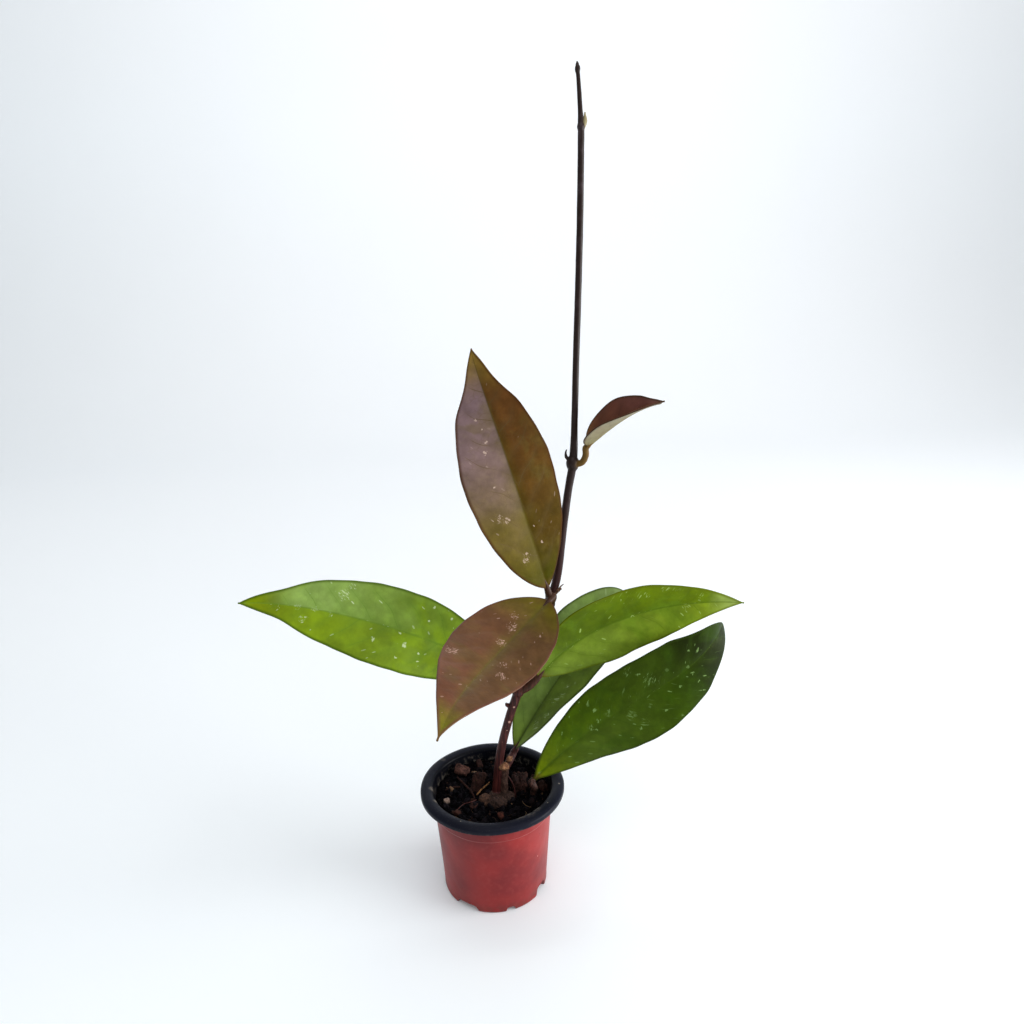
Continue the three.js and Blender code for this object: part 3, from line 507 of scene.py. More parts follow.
# Material nodes
class Finish:
    """A material whose nodes are added by short calls. Places on it are in millimetres."""

    def __init__(self, name):
        self.material = bpy.data.materials.new(name)
        self.material.use_nodes = True
        self.nodes = self.material.node_tree.nodes
        self.links = self.material.node_tree.links
        self.shader = self.nodes["Principled BSDF"]

    def feed(self, socket, value):
        """Links an output to a socket, or sets the socket's own value."""
        if isinstance(value, bpy.types.NodeSocket):
            self.links.new(value, socket)
        elif socket.type == "RGBA" and len(value) == 3:
            socket.default_value = (*value, 1)
        else:
            socket.default_value = value

    def node(self, kind, inputs, **settings):
        """Adds a node with its settings and its inputs by name."""
        made = self.nodes.new(kind)
        for key, value in settings.items():
            setattr(made, key, value)
        for key, value in inputs.items():
            self.feed(made.inputs[key], value)
        return made

    def math(self, operation, *values, clamp=False):
        """The result of a Math node."""
        made = self.node("ShaderNodeMath", {}, operation=operation, use_clamp=clamp)
        for socket, value in zip(made.inputs, values):
            self.feed(socket, value)
        return made.outputs["Value"]

    def folded(self, operation, values):
        """The values taken together in pairs by a Math operation."""
        result = values[0]
        for value in values[1:]:
            result = self.math(operation, result, value)
        return result

    def product(self, *values):
        """All the values multiplied."""
        return self.folded("MULTIPLY", values)

    def total(self, *values):
        """All the values added."""
        return self.folded("ADD", values)

    def most(self, *values):
        """The largest of the values."""
        return self.folded("MAXIMUM", values)

    def less(self, value, taken):
        """A value less another."""
        return self.math("SUBTRACT", value, taken)

    def centred(self, value, size):
        """A value from 0 to 1, moved to lie about 0 and scaled."""
        return self.product(self.less(value, 0.5), size)

    def blend(self, factor, first, second, mode="MIX"):
        """Two colours mixed by a factor."""
        made = self.node("ShaderNodeMix", {}, data_type="RGBA", blend_type=mode)
        self.feed(made.inputs[0], factor)
        self.feed(made.inputs[6], first)
        self.feed(made.inputs[7], second)
        return made.outputs[2]

    def layered(self, base, *layers):
        """A colour with others laid over it, each by its own factor."""
        for factor, tint in layers:
            base = self.blend(factor, base, tint)
        return base

    def ramp(self, value, low, high, start=0.0, end=1.0):
        """A smooth step from start to end as value goes from low to high."""
        inputs = {"Value": value, "From Min": low, "From Max": high, "To Min": start, "To Max": end}
        made = self.node("ShaderNodeMapRange", inputs, interpolation_type="SMOOTHSTEP")
        return made.outputs["Result"]

    def place(self):
        """The point on the piece, in millimetres."""
        metres = self.node("ShaderNodeTexCoord", {}).outputs["Object"]
        return self.stretch(metres, (1 / MM, 1 / MM, 1 / MM))

    def attribute(self, name):
        """An attribute of the mesh, as its Attribute node."""
        return self.node("ShaderNodeAttribute", {}, attribute_name=name)

    def split(self, vector):
        """The three parts of a vector."""
        return self.node("ShaderNodeSeparateXYZ", {"Vector": vector}).outputs[:]

    def join(self, x, y, z):
        """A vector from its three parts."""
        return self.node("ShaderNodeCombineXYZ", {"X": x, "Y": y, "Z": z}).outputs["Vector"]

    def vector_math(self, operation, first, second):
        """The outputs of a Vector Math node."""
        made = self.node("ShaderNodeVectorMath", {}, operation=operation)
        self.feed(made.inputs[0], first)
        self.feed(made.inputs[1], second)
        return made.outputs

    def stretch(self, vector, factors):
        """A vector scaled along each axis."""
        return self.vector_math("MULTIPLY", vector, factors)["Vector"]

    def noise(self, vector, scale, detail=3.0, roughness=0.5, distortion=0.0):
        """Noise from 0 to 1, with scale in waves to a millimetre."""
        inputs = {
            "Vector": vector, "Scale": scale, "Detail": detail,
            "Roughness": roughness, "Distortion": distortion,
        }
        return self.node("ShaderNodeTexNoise", inputs).outputs["Fac"]

    def cells(self, vector, scale, feature="F1"):
        """A Voronoi node: its distance, and a colour for each cell."""
        return self.node("ShaderNodeTexVoronoi", {"Vector": vector, "Scale": scale}, feature=feature)

    def spots(self, place, scale, rarity, size, uneven):
        """Ragged spots in some of the cells of a Voronoi pattern, some fainter than others."""
        cells = self.cells(place, scale)
        chance, tone, _ = self.split(cells.outputs["Color"])
        reach = self.ramp(chance, rarity, 1.0, 0, size)
        ragged = self.total(cells.outputs["Distance"], self.centred(uneven, 0.24))
        seen = self.ramp(self.less(reach, ragged), 0.0, 0.05)
        return self.product(seen, self.ramp(tone, 0.0, 1.0, 0.35, 1.0))

    def gap(self, place, spot):
        """Distance to a spot."""
        return self.vector_math("DISTANCE", place, spot)["Value"]

    def near(self, place, spot, radius):
        """1 at a spot on the piece, falling to 0 at a radius from it."""
        return self.ramp(self.gap(place, spot), radius, 0)

    def nearest(self, place, spots):
        """Distance to the nearest of some spots on a blade, as a share of its radius."""
        shares = [self.math("DIVIDE", self.gap(place, (x, y, 0.0)), radius) for x, y, radius in spots]
        return self.folded("MINIMUM", shares)

    def bump(self, height, depth, normal=None):
        """A bump whose depth is in millimetres."""
        inputs = {"Height": height, "Distance": depth * MM, "Strength": 1.0}
        if normal is not None:
            inputs["Normal"] = normal
        return self.node("ShaderNodeBump", inputs).outputs["Normal"]

    def done(self, **values):
        """Feeds the shader's sockets, with _ for a space in their names, and gives the material."""
        for key, value in values.items():
            self.feed(self.shader.inputs[key.replace("_", " ")], value)
        return self.material


# Geometry nodes
class Growth:
    """A geometry node tree with named inputs, which is put on an object as a modifier."""

    KINDS = {
        "float": "NodeSocketFloat",
        "int": "NodeSocketInt",
        "vector": "NodeSocketVector",
        "material": "NodeSocketMaterial",
    }

    def __init__(self, name, inputs):
        self.tree = bpy.data.node_groups.new(name, "GeometryNodeTree")
        face = self.tree.interface
        face.new_socket("Geometry", in_out="INPUT", socket_type="NodeSocketGeometry")
        face.new_socket("Geometry", in_out="OUTPUT", socket_type="NodeSocketGeometry")
        self.sockets = {
            title: face.new_socket(title, in_out="INPUT", socket_type=self.KINDS[kind])
            for title, kind in inputs.items()
        }
        self.given = self.tree.nodes.new("NodeGroupInput").outputs
        self.result = self.tree.nodes.new("NodeGroupOutput").inputs["Geometry"]

    def node(self, kind, inputs, **settings):
        """Adds a node with its settings, and its inputs by identifier."""
        made = self.tree.nodes.new(kind)
        for key, value in settings.items():
            setattr(made, key, value)
        sockets = {socket.identifier: socket for socket in made.inputs}
        for key, value in inputs.items():
            if isinstance(value, bpy.types.NodeSocket):
                self.tree.links.new(value, sockets[key])
            else:
                sockets[key].default_value = value
        return made.outputs

    def math(self, operation, first, second):
        """The result of a Math node."""
        made = self.tree.nodes.new("ShaderNodeMath")
        made.operation = operation
        for socket, value in zip(made.inputs, (first, second)):
            if isinstance(value, bpy.types.NodeSocket):
                self.tree.links.new(value, socket)
            else:
                socket.default_value = value
        return made.outputs["Value"]

    def relief(self, geometry, scale, depth, detail):
        """Pushes a surface in and out along its normals by noise."""
        place = self.node("GeometryNodeInputPosition", {})["Position"]
        stretched = self.node(
            "ShaderNodeVectorMath", {"Vector": place, "Vector_001": scale}, operation="MULTIPLY"
        )
        waves = {"Vector": stretched["Vector"], "Scale": 1.0, "Detail": detail}
        centred = self.math("SUBTRACT", self.node("ShaderNodeTexNoise", waves)["Fac"], 0.5)
        push = self.math("MULTIPLY", self.math("MULTIPLY", centred, 2.0), depth)
        normal = self.node("GeometryNodeInputNormal", {})["Normal"]
        offset = self.node("ShaderNodeVectorMath", {"Vector": normal, "Scale": push}, operation="SCALE")
        moved = {"Geometry": geometry, "Offset": offset["Vector"]}
        return self.node("GeometryNodeSetPosition", moved)["Geometry"]

    def random(self, low, high):
        """A random number, or a random vector, for each point."""
        vector = isinstance(low, tuple)
        kind, ending = ("FLOAT_VECTOR", "") if vector else ("FLOAT", "_001")
        inputs = {"Min" + ending: low, "Max" + ending: high, "Seed": self.given["Seed"]}
        return self.node("FunctionNodeRandomValue", inputs, data_type=kind)[0 if vector else 1]

    def scatter(self, shape, turns, scale):
        """Copies of a shape over the given surface, turned at random, with a shade each."""
        spread = self.node("GeometryNodeDistributePointsOnFaces", {
            "Mesh": self.given["Geometry"], "Density": self.given["Density"], "Seed": self.given["Seed"],
        })
        turn = self.node("FunctionNodeEulerToRotation", {"Euler": self.random(*turns)})
        placed = self.node("GeometryNodeInstanceOnPoints", {
            "Points": spread["Points"], "Instance": shape, "Rotation": turn["Rotation"], "Scale": scale,
        })
        return self.node("GeometryNodeStoreNamedAttribute", {
            "Geometry": placed["Instances"], "Name": "crumb_tone", "Value": self.random(0.0, 1.0),
        }, domain="INSTANCE", data_type="FLOAT")["Geometry"]

    def close(self, geometry):
        """Ends the tree: instances are made real and the skin is given."""
        real = self.node("GeometryNodeRealizeInstances", {"Geometry": geometry})["Geometry"]
        skinned = self.node("GeometryNodeSetMaterial", {"Geometry": real, "Material": self.given["Skin"]})
        self.tree.links.new(skinned["Geometry"], self.result)

    def put_on(self, piece, **values):
        """Adds the modifier and sets its inputs, with _ for a space in their names."""
        modifier = piece.modifiers.new(self.tree.name, "NODES")
        modifier.node_group = self.tree
        for key, value in values.items():
            modifier[self.sockets[key.replace("_", " ")].identifier] = value


def tube_tree():
    """Round tubes along curves, as thick as the curves' own radius."""
    tree = Growth("Tubes along paths", {"Sides": "int", "Skin": "material"})
    ring = tree.node("GeometryNodeCurvePrimitiveCircle", {
        "Resolution": tree.given["Sides"], "Radius": 1.0,
    })
    tube = tree.node("GeometryNodeCurveToMesh", {
        "Curve": tree.given["Geometry"],
        "Profile Curve": ring["Curve"],
        "Scale": tree.node("GeometryNodeInputRadius", {})["Radius"],
        "Fill Caps": True,
    })
    smooth = tree.node("GeometryNodeSetShadeSmooth", {"Geometry": tube["Mesh"]})
    tree.close(smooth["Geometry"])
    return tree


def bark_tree():
    """Rounds a coarse body and works broad and fine relief into it."""
    tree = Growth("Rough skin", {
        "Level": "int", "Broad": "vector", "Fine": "vector", "Depth": "float", "Skin": "material",
    })
    fine = tree.node("GeometryNodeSubdivisionSurface", {
        "Mesh": tree.given["Geometry"], "Level": tree.given["Level"],
    })
    broad = tree.relief(fine["Mesh"], tree.given["Broad"], tree.given["Depth"], 2.0)
    third = tree.math("MULTIPLY", tree.given["Depth"], 0.35)
    detailed = tree.relief(broad, tree.given["Fine"], third, 4.0)
    smooth = tree.node("GeometryNodeSetShadeSmooth", {"Geometry": detailed})
    tree.close(smooth["Geometry"])
    return tree


def crumb_tree():
    """Scatters angular crumbs over a surface, each with its own shade."""
    tree = Growth("Scattered crumbs", {
        "Density": "float", "Smallest": "float", "Largest": "float", "Detail": "int",
        "Seed": "int", "Skin": "material",
    })
    crumb = tree.node("GeometryNodeMeshIcoSphere", {"Radius": 0.5, "Subdivisions": tree.given["Detail"]})
    size = tree.random(tree.given["Smallest"], tree.given["Largest"])
    shape = tree.random((0.6, 0.6, 0.45), (1.3, 1.0, 0.9))
    scale = tree.node("ShaderNodeVectorMath", {"Vector": shape, "Scale": size}, operation="SCALE")
    spread = tree.scatter(crumb["Mesh"], ((0, 0, 0), (math.tau, math.tau, math.tau)), scale["Vector"])
    real = tree.node("GeometryNodeRealizeInstances", {"Geometry": spread})
    third = tree.math("MULTIPLY", tree.given["Largest"], 0.3)
    tree.close(tree.relief(real["Geometry"], (900, 900, 900), third, 2.0))
    return tree


def fibre_tree():
    """Scatters thin bent fibres over a surface, lying nearly flat."""
    tree = Growth("Scattered fibres", {
        "Density": "float", "Length": "float", "Thickness": "float", "Seed": "int", "Skin": "material",
    })
    bow = tree.node("GeometryNodeCurveArc", {
        "Resolution": 9, "Radius": tree.given["Length"], "Start Angle": 0.0, "Sweep Angle": 1.7,
    }, mode="RADIUS")
    ring = tree.node("GeometryNodeCurvePrimitiveCircle", {
        "Resolution": 5, "Radius": tree.given["Thickness"],
    })
    strand = tree.node("GeometryNodeCurveToMesh", {
        "Curve": bow["Curve"], "Profile Curve": ring["Curve"], "Fill Caps": True,
    })
    turns = ((-0.5, -0.5, 0), (0.5, 0.5, math.tau))
    tree.close(tree.scatter(strand["Mesh"], turns, tree.random(0.3, 1.0)))
    return tree


# Meshes
def add_object(name, data):
    """A new object at the origin, in the scene."""
    made = bpy.data.objects.new(name, data)
    bpy.context.scene.collection.objects.link(made)
    return made


def ring_faces(rows, sides):
    """Faces of a closed body through rings of points. Its last two points are its ends' middles."""
    index = np.arange(rows * sides).reshape(rows, sides)
    after = np.roll(index, -1, axis=1)
    quads = np.stack([index[:-1], after[:-1], after[1:], index[1:]], axis=-1).reshape(-1, 4)
    first, last = rows * sides, rows * sides + 1
    ends = [[first, int(b), int(a)] for a, b in zip(index[0], after[0])]
    ends += [[last, int(a), int(b)] for a, b in zip(index[-1], after[-1])]
    return quads.tolist() + ends


def renumbered(faces):
    """The numbers of the points that some faces use, and the faces numbered anew to match."""
    used = sorted({v for face in faces for v in face})
    place = {v: k for k, v in enumerate(used)}
    return used, [[place[v] for v in face] for face in faces]


def signed_volume(points, faces):
    """Volume of a closed mesh, negative when its faces point inwards."""
    triangles = [(face[0], face[k], face[k + 1]) for face in faces for k in range(1, len(face) - 1)]
    a, b, c = (points[column] for column in np.array(triangles).T)
    return float((a * np.cross(b, c)).sum()) / 6


def body(name, points, faces):
    """A smooth mesh object whose faces point outwards, from points in millimetres."""
    if signed_volume(points, faces) < 0:
        faces = [face[::-1] for face in faces]
    mesh = bpy.data.meshes.new(name)
    mesh.from_pydata((points * MM).tolist(), [], faces)
    mesh.update()
    mesh.shade_smooth()
    return add_object(name, mesh)


def with_ends(rings):
    """The points of all the rings, then the middles of the first and the last."""
    return np.vstack([rings.reshape(-1, 3), rings[0].mean(0), rings[-1].mean(0)])


def skinned_rings(name, rings):
    """A closed body through rings of points."""
    rows, sides, _ = rings.shape
    return body(name, with_ends(rings), ring_faces(rows, sides))


def store(mesh, name, values):
    """Keeps one number or one vector for each point of a mesh."""
    values = np.asarray(values, np.float32)
    if values.ndim == 1:
        mesh.attributes.new(name, "FLOAT", "POINT").data.foreach_set("value", values)
    else:
        mesh.attributes.new(name, "FLOAT_VECTOR", "POINT").data.foreach_set("vector", values.ravel())


def mesh_points(mesh):
    """The points of a mesh, in millimetres."""
    flat = np.zeros(len(mesh.vertices) * 3, np.float32)
    mesh.vertices.foreach_get("co", flat)
    return flat.reshape(-1, 3) / MM


def worked(piece):
    """Turns a piece and its modifiers into a plain mesh object of the same name."""
    graph = bpy.context.evaluated_depsgraph_get()
    mesh = bpy.data.meshes.new_from_object(
        piece.evaluated_get(graph), preserve_all_data_layers=True, depsgraph=graph
    )
    name = piece.name
    bpy.data.objects.remove(piece)
    mesh.name = name
    return add_object(name, mesh)


def settle(piece, slot, *nodes):
    """Ties a finished piece to the frame, in the place of the construction nodes it stands for."""
    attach(piece, "root")
    if nodes:
        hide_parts(*nodes)
    return piece


def smooth_path(points, radii, step):
    """Points about a step apart on a smooth curve through the given ones, with a radius at each."""
    spots = [Vector(p) for p in points]
    ends = [2 * spots[0] - spots[1], *spots, 2 * spots[-1] - spots[-2]]
    path = []
    for k in range(len(spots) - 1):
        a, b, c, d = ends[k : k + 4]
        gaps = [max(math.sqrt((q - p).length), 1e-4) for p, q in ((a, b), (b, c), (c, d))]
        slope_b = ((b - a) / gaps[0] - (c - a) / (gaps[0] + gaps[1]) + (c - b) / gaps[1]) * gaps[1]
        slope_c = ((c - b) / gaps[1] - (d - b) / (gaps[1] + gaps[2]) + (d - c) / gaps[2]) * gaps[1]
        steps = max(1, round((c - b).length / step))
        for i in range(steps + (k == len(spots) - 2)):
            t = i / steps
            spot = (
                b * (2 * t**3 - 3 * t**2 + 1) + slope_b * (t**3 - 2 * t**2 + t)
                + c * (3 * t**2 - 2 * t**3) + slope_c * (t**3 - t**2)
            )
            blend = t * t * (3 - 2 * t)
            path.append((spot, radii[k] + (radii[k + 1] - radii[k]) * blend))
    return path


def knob_path(knob):
    """A short path whose radius swells and shrinks, so that its tube is a rounded knob."""
    size = Vector(knob["size"])
    long_axis = max(range(3), key=lambda k: size[k])
    half = size[long_axis]
    girth = (sum(size) - half) / 2
    axis = Vector((0, 0, 0))
    axis[long_axis] = half
    path = []
    for k in range(13):
        turn = math.pi * k / 12
        path.append((Vector(knob["at"]) - axis * math.cos(turn), max(girth * math.sin(turn), 0.02)))
    return path


def curves_object(name, paths):
    """One curve object holding a straight-segment spline for each path."""
    data = bpy.data.curves.new(name, "CURVE")
    data.dimensions = "3D"
    for path in paths:
        spline = data.splines.new("POLY")
        spline.points.add(len(path) - 1)
        for point, (spot, radius) in zip(spline.points, path):
            point.co = (*(spot * MM), 1)
            point.radius = radius * MM
    return add_object(name, data)


def joined(name, pieces):
    """One mesh object from several, which are removed."""
    with bpy.context.temp_override(
        active_object=pieces[0], object=pieces[0], selected_objects=pieces,
        selected_editable_objects=pieces,
    ):
        bpy.ops.object.join()
    pieces[0].name = name
    pieces[0].data.name = name
    return pieces[0]


# Pot
def round_axis(angle, radius, height):
    """The point at an angle round the pot's axis, a distance from it and a height."""
    turn = math.radians(angle)
    return (radius * math.cos(turn), radius * math.sin(turn), height)


def body_radius(z):
    """Outer radius of the pot's wall at a height."""
    share_up = (z - CORNER_HEIGHT) / (POT_HEIGHT - RIM_DROP - CORNER_HEIGHT)
    radius = BODY_BASE_RADIUS + (BODY_TOP_RADIUS - BODY_BASE_RADIUS) * share_up
    return radius - STEP_DEPTH * (1 - min(max((z - STEP_HEIGHT) / 0.6, 0), 1))


def roll_arc(start, end, steps):
    """Points on the rolled rim's rounded top, between two angles from its outer edge."""
    arc = []
    for k in range(steps + 1):
        turn = math.radians(start + (end - start) * k / steps)
        arc.append((
            RIM_RADIUS - ROLL_HALF_WIDTH + ROLL_HALF_WIDTH * math.cos(turn),
            POT_HEIGHT - ROLL_HEIGHT + ROLL_HEIGHT * math.sin(turn),
        ))
    return arc


# Radii of the rings of points on the floor, close together where the recesses and drains are
FLOOR_RADII = (
    0.5, 10, 18, 21.6, 22.3, 22.7, 22.95, 23.2, 23.8, 24.5, 25.1, 25.6,
    26.1, 26.7, 27.2, 27.7, 28.3, 28.9,
)

# Heights of the rings of points on the wall: outside from the foot up, inside from the rim down
OUTER_HEIGHTS = (
    3, 4.5, 6, 8, 10, 13, 17, 22, 28, 34, 40, 46, 49, 50.4, 51, 51.15, 51.3, 51.45, 51.6, 52.2,
    54, 57, 60,
)
INNER_HEIGHTS = (60, 58, 56, 52, 51.5, 51, 45, 30, 15, 8, 5, 3.5)


def pot_profile():
    """Radius, height and side (1 outside, 0 inside) of the sheet, from under the pot to its floor."""
    lip_end = POT_HEIGHT - RIM_DROP
    roll_under = POT_HEIGHT - ROLL_HEIGHT
    outer = [(radius, 0) for radius in FLOOR_RADII]
    for turn in range(0, 91, 15):
        outer.append((
            FOOT_RADIUS - 0.2 + 1.3 * math.sin(math.radians(turn)),
            CORNER_HEIGHT * (1 - math.cos(math.radians(turn))),
        ))
    outer += [(body_radius(z), z) for z in (*OUTER_HEIGHTS, lip_end)]
    outer += [(BODY_TOP_RADIUS, roll_under - 0.3), (BODY_TOP_RADIUS + 0.3, roll_under)]
    lip_inside = RIM_RADIUS - LIP_THICKNESS
    under = [(lip_inside - 0.4, roll_under), (lip_inside, roll_under - 0.4), (lip_inside, lip_end + 0.4)]
    for turn in range(180, 361, 30):
        under.append((
            lip_inside + LIP_THICKNESS / 2 * (1 + math.cos(math.radians(turn))),
            lip_end + 0.5 + 0.5 * math.sin(math.radians(turn)),
        ))
    over = roll_arc(0, 180, 24)
    inner = [(body_radius(z) - WALL, z) for z in (lip_end - 0.4, *INNER_HEIGHTS)]
    inner.append((body_radius(3) - WALL - 0.8, 1.8))
    inner += [(radius, FLOOR) for radius in reversed(FLOOR_RADII)]
    profile = [(r, z, 1) for r, z in outer]
    profile += [(r, z, 0) for r, z in under + over + inner]
    return profile


def recess_lift(angle, grow):
    """How far the recesses, grown all round, press the sheet up at an angle round the foot."""
    lift = 0
    for recess in RECESSES:
        away = math.radians((angle - recess["angle"] + 180) % 360 - 180) * FOOT_RADIUS
        inside = 1 - abs(away / (recess["width"] / 2 + grow)) ** 5
        if inside > 0:
            lift = max(lift, recess["height"] * inside**0.4)
    return lift


def flutter(turn):
    """How far the thin wall strays from a true circle at an angle round it."""
    return 0.12 * math.sin(3 * turn + 0.7) + 0.08 * math.sin(7 * turn + 2) - 0.2


def drained(points, faces, rows, sides):
    """The pot's points and faces with a drain hole through the ceiling of each recess."""
    floor_rows = len(FLOOR_RADII)
    inside = np.zeros(len(points), bool)
    snapped = points.copy()
    flat = rows * sides
    for recess in RECESSES:
        centre = np.array(round_axis(recess["angle"], FOOT_RADIUS - RECESS_DEPTH / 2, 0)[:2])
        away = points[:, :2] - centre
        gap = np.linalg.norm(away, axis=1)
        rim = (gap >= DRAIN_RADIUS) & (gap < DRAIN_RADIUS + DRAIN_MARGIN)
        snapped[rim, :2] = centre + away[rim] / gap[rim, None] * DRAIN_RADIUS
        inside |= gap < DRAIN_RADIUS
    row = np.append(np.arange(flat) // sides, [-1, -1])
    on_floor = (row >= 0) & ((row < floor_rows) | (row >= rows - floor_rows))
    inside &= on_floor
    kept, edges, touched = [], {}, set()
    for face in faces:
        if not any(inside[v] for v in face):
            kept.append(face)
            continue
        touched.update(v for v in face if not inside[v])
        if row[face[0]] < floor_rows:
            for a, b in zip(face, face[1:] + face[:1]):
                if edges.pop((b, a), None) is None:
                    edges[(a, b)] = True

    def partner(v):
        """The point of the inner sheet over one of the outer sheet."""
        return (rows - 1 - v // sides) * sides + v % sides

    kept += [[a, b, partner(b), partner(a)] for a, b in edges]
    placed = points.copy()
    for v in touched:
        placed[v, :2] = snapped[v, :2]
    used, kept = renumbered(kept)
    return placed[used], kept, used


def pot_shell(settings):
    """The thin formed pot with its rolled rim, its step line, and the drained recesses in its foot."""
    sides = settings.sides
    profile = pot_profile()
    rows = len(profile)
    lifts = {
        1: [recess_lift(360 * s / sides, 0) for s in range(sides)],
        0: [recess_lift(360 * s / sides, WALL) for s in range(sides)],
    }
    rings = np.zeros((rows, sides, 3))
    for row, (radius, z, side) in enumerate(profile):
        for s in range(sides):
            turn = math.tau * s / sides
            lift = lifts[side][s]
            past_end = radius + (0 if side else WALL) - (FOOT_RADIUS - RECESS_DEPTH)
            reach = min(max(past_end / RECESS_END_SLOPE + 0.5, 0), 1)
            height = z + lift * reach * (1 - z / RECESS_REACH) if z < RECESS_REACH else z
            out = radius
            if z < RECESS_REACH and radius > FOOT_RADIUS:
                out = min(radius, body_radius(height) - (body_radius(z) - radius))
            out += flutter(turn) * min(z / FLUTTER_START, 1)
            rings[row, s] = (out * math.cos(turn), out * math.sin(turn), height)
    points, faces, used = drained(with_ends(rings), ring_faces(rows, sides), rows, sides)
    piece = body("pot_shell", points, faces)
    outside = np.append(np.repeat([side for _, _, side in profile], sides), [1, 0])
    store(piece.data, "pot_outside", outside[used])
    return piece


# Dusty smears and spots on the rim: angle round it, distance from the axis, and how far they spread
RIM_SMEARS = (
    (-66, 35.8, 4), (-57, 35.8, 5), (-48, 35.8, 4), (-110, 36, 2.5), (184, 36, 3), (204, 35.8, 3),
    (140, 39, 3),
)
RIM_SPOTS = ((-8, 39.5, 0.9), (-36, 38, 0.6), (-118, 38.4, 0.6))


def pot_finish(settings):
    """Two-tone satin plastic: brick red outside, black inside, with dust and specks, patches darker
    towards the foot, a painted highlight along the step line and painted shade on the rim's inner side.
    """
    finish = Finish("pot_plastic")
    place = finish.place()
    x, y, z = finish.split(place)
    broad = finish.noise(place, 0.035, 2)
    drift = finish.ramp(broad, 0.3, 0.7)
    mottle = finish.noise(place, 0.35, 4)
    foot_band = finish.product(
        finish.ramp(z, 4, 7), finish.ramp(z, 15, 10), finish.ramp(broad, 0.35, 0.6, 0, 0.5)
    )
    # painted highlight: a thin lighter band along the step line
    painted_step_highlight = finish.product(finish.ramp(z, 50.7, 51.1), finish.ramp(z, 51.9, 51.5, 0, 0.15))
    dots = finish.cells(place, 0.16)
    chance = finish.split(dots.outputs["Color"])[0]
    dot = finish.ramp(dots.outputs["Distance"], 0.075, 0.04, 0, 0.6)
    uneven = finish.ramp(finish.noise(place, 0.2, 4), 0.35, 0.65, 0, 0.55)
    red = finish.layered(
        settings.outside,
        (drift, screen(110, 21, 24)),
        (finish.ramp(mottle, 0.45, 0.75, 0, 0.15), screen(166, 76, 70)),
        (foot_band, screen(132, 32, 28)),
        (painted_step_highlight, screen(190, 100, 92)),
        (finish.product(dot, finish.math("GREATER_THAN", chance, 0.86)), screen(220, 170, 160)),
        (finish.product(dot, finish.math("LESS_THAN", chance, 0.12)), screen(84, 22, 22)),
        # darker and browner towards the bottom of the pot, in patches
        (finish.product(finish.ramp(z, 9, 0), uneven), screen(84, 48, 40)),
    )

    smear = finish.most(*(
        finish.near(place, round_axis(angle, radius, POT_HEIGHT - 2), spread)
        for angle, radius, spread in RIM_SMEARS
    ))
    spots = [
        finish.near(place, round_axis(angle, radius, POT_HEIGHT), size)
        for angle, radius, size in RIM_SPOTS
    ]
    ragged = finish.ramp(finish.noise(place, 0.4, 5, 0.6), 0.32, 0.6, 0, 0.95)
    speckle = finish.ramp(finish.noise(place, 1.4, 3), 0.62, 0.74, 0, 0.08)
    patchy = finish.ramp(finish.noise(place, 0.4, 4), 0.45, 0.7, 0, 0.4)
    dusty_wall = finish.product(finish.ramp(z, 63.5, 60.5), patchy)
    dust = finish.most(finish.product(smear, ragged), speckle, dusty_wall, *spots)
    from_axis = finish.gap(finish.join(x, y, 0.0), (0.0, 0.0, 0.0))
    black = finish.layered(
        settings.inside,
        (drift, screen(22, 24, 34)),
        # painted shade: the inner side of the rolled rim darkened towards the black inside
        (finish.ramp(from_axis, 36.9, 35.9, 0, 0.8), screen(4, 5, 10)),
        (dust, settings.dust),
    )

    outside = finish.ramp(finish.attribute("pot_outside").outputs["Fac"], 0.4, 0.6)
    rough_red = finish.total(finish.product(mottle, 0.16), settings.gloss - 0.08)
    rough_black = finish.total(finish.product(dust, 0.4), 0.38)
    rough = finish.total(
        finish.product(rough_red, outside), finish.product(rough_black, finish.less(1.0, outside))
    )
    skin = finish.bump(finish.noise(place, 2.2, 3), 0.02)
    return finish.done(
        Base_Color=finish.blend(outside, black, red), Roughness=rough,
        Normal=finish.bump(finish.noise(place, 0.08, 2), 0.35, skin),
        Specular_IOR_Level=finish.math("MULTIPLY_ADD", outside, 0.2, 0.08),
    )


# Potting mix
def soil_height(x, y):
    """Height of the mix's lumpy top."""
    broad = 0.7 * math.sin(0.31 * x + 1.3) * math.cos(0.27 * y - 0.4)
    fine = 0.55 * math.sin(0.83 * x - 0.57 * y) * math.cos(0.49 * x + 0.91 * y + 0.8)
    return SOIL_LEVEL + SOIL_SLOPE * y + broad + fine


def soil_bed(settings):
    """The mix that fills the pot, with a lumpy and crumbly top."""
    lumps = settings.lumps / MM
    wall = body_radius(SOIL_LEVEL) - WALL - SOIL_GAP
    turns = np.linspace(0, math.tau, SOIL_SIDES, endpoint=False)
    lifts = [recess_lift(math.degrees(a), WALL + SOIL_GAP) for a in turns]
    rings = []
    for radius, z, lifted in SOIL_FOOT:
        rings.append([
            (radius * math.cos(a), radius * math.sin(a), z + lifted * lift)
            for a, lift in zip(turns, lifts)
        ])
    for k in range(SOIL_RINGS):
        radius = wall * (1 - k / SOIL_RINGS)
        ring = []
        for a in turns:
            x, y = radius * math.cos(a), radius * math.sin(a)
            lump = noise.fractal(Vector((x * 0.35, y * 0.35, 3.1)), 0.9, 2.1, 5)
            edge_dip = EDGE_DIP * max(0, 1 - (wall - radius) / EDGE_DIP_WIDTH)
            ring.append((x, y, soil_height(x, y) + lumps * lump - edge_dip))
        rings.append(ring)
    return skinned_rings("soil_bed", np.array(rings))


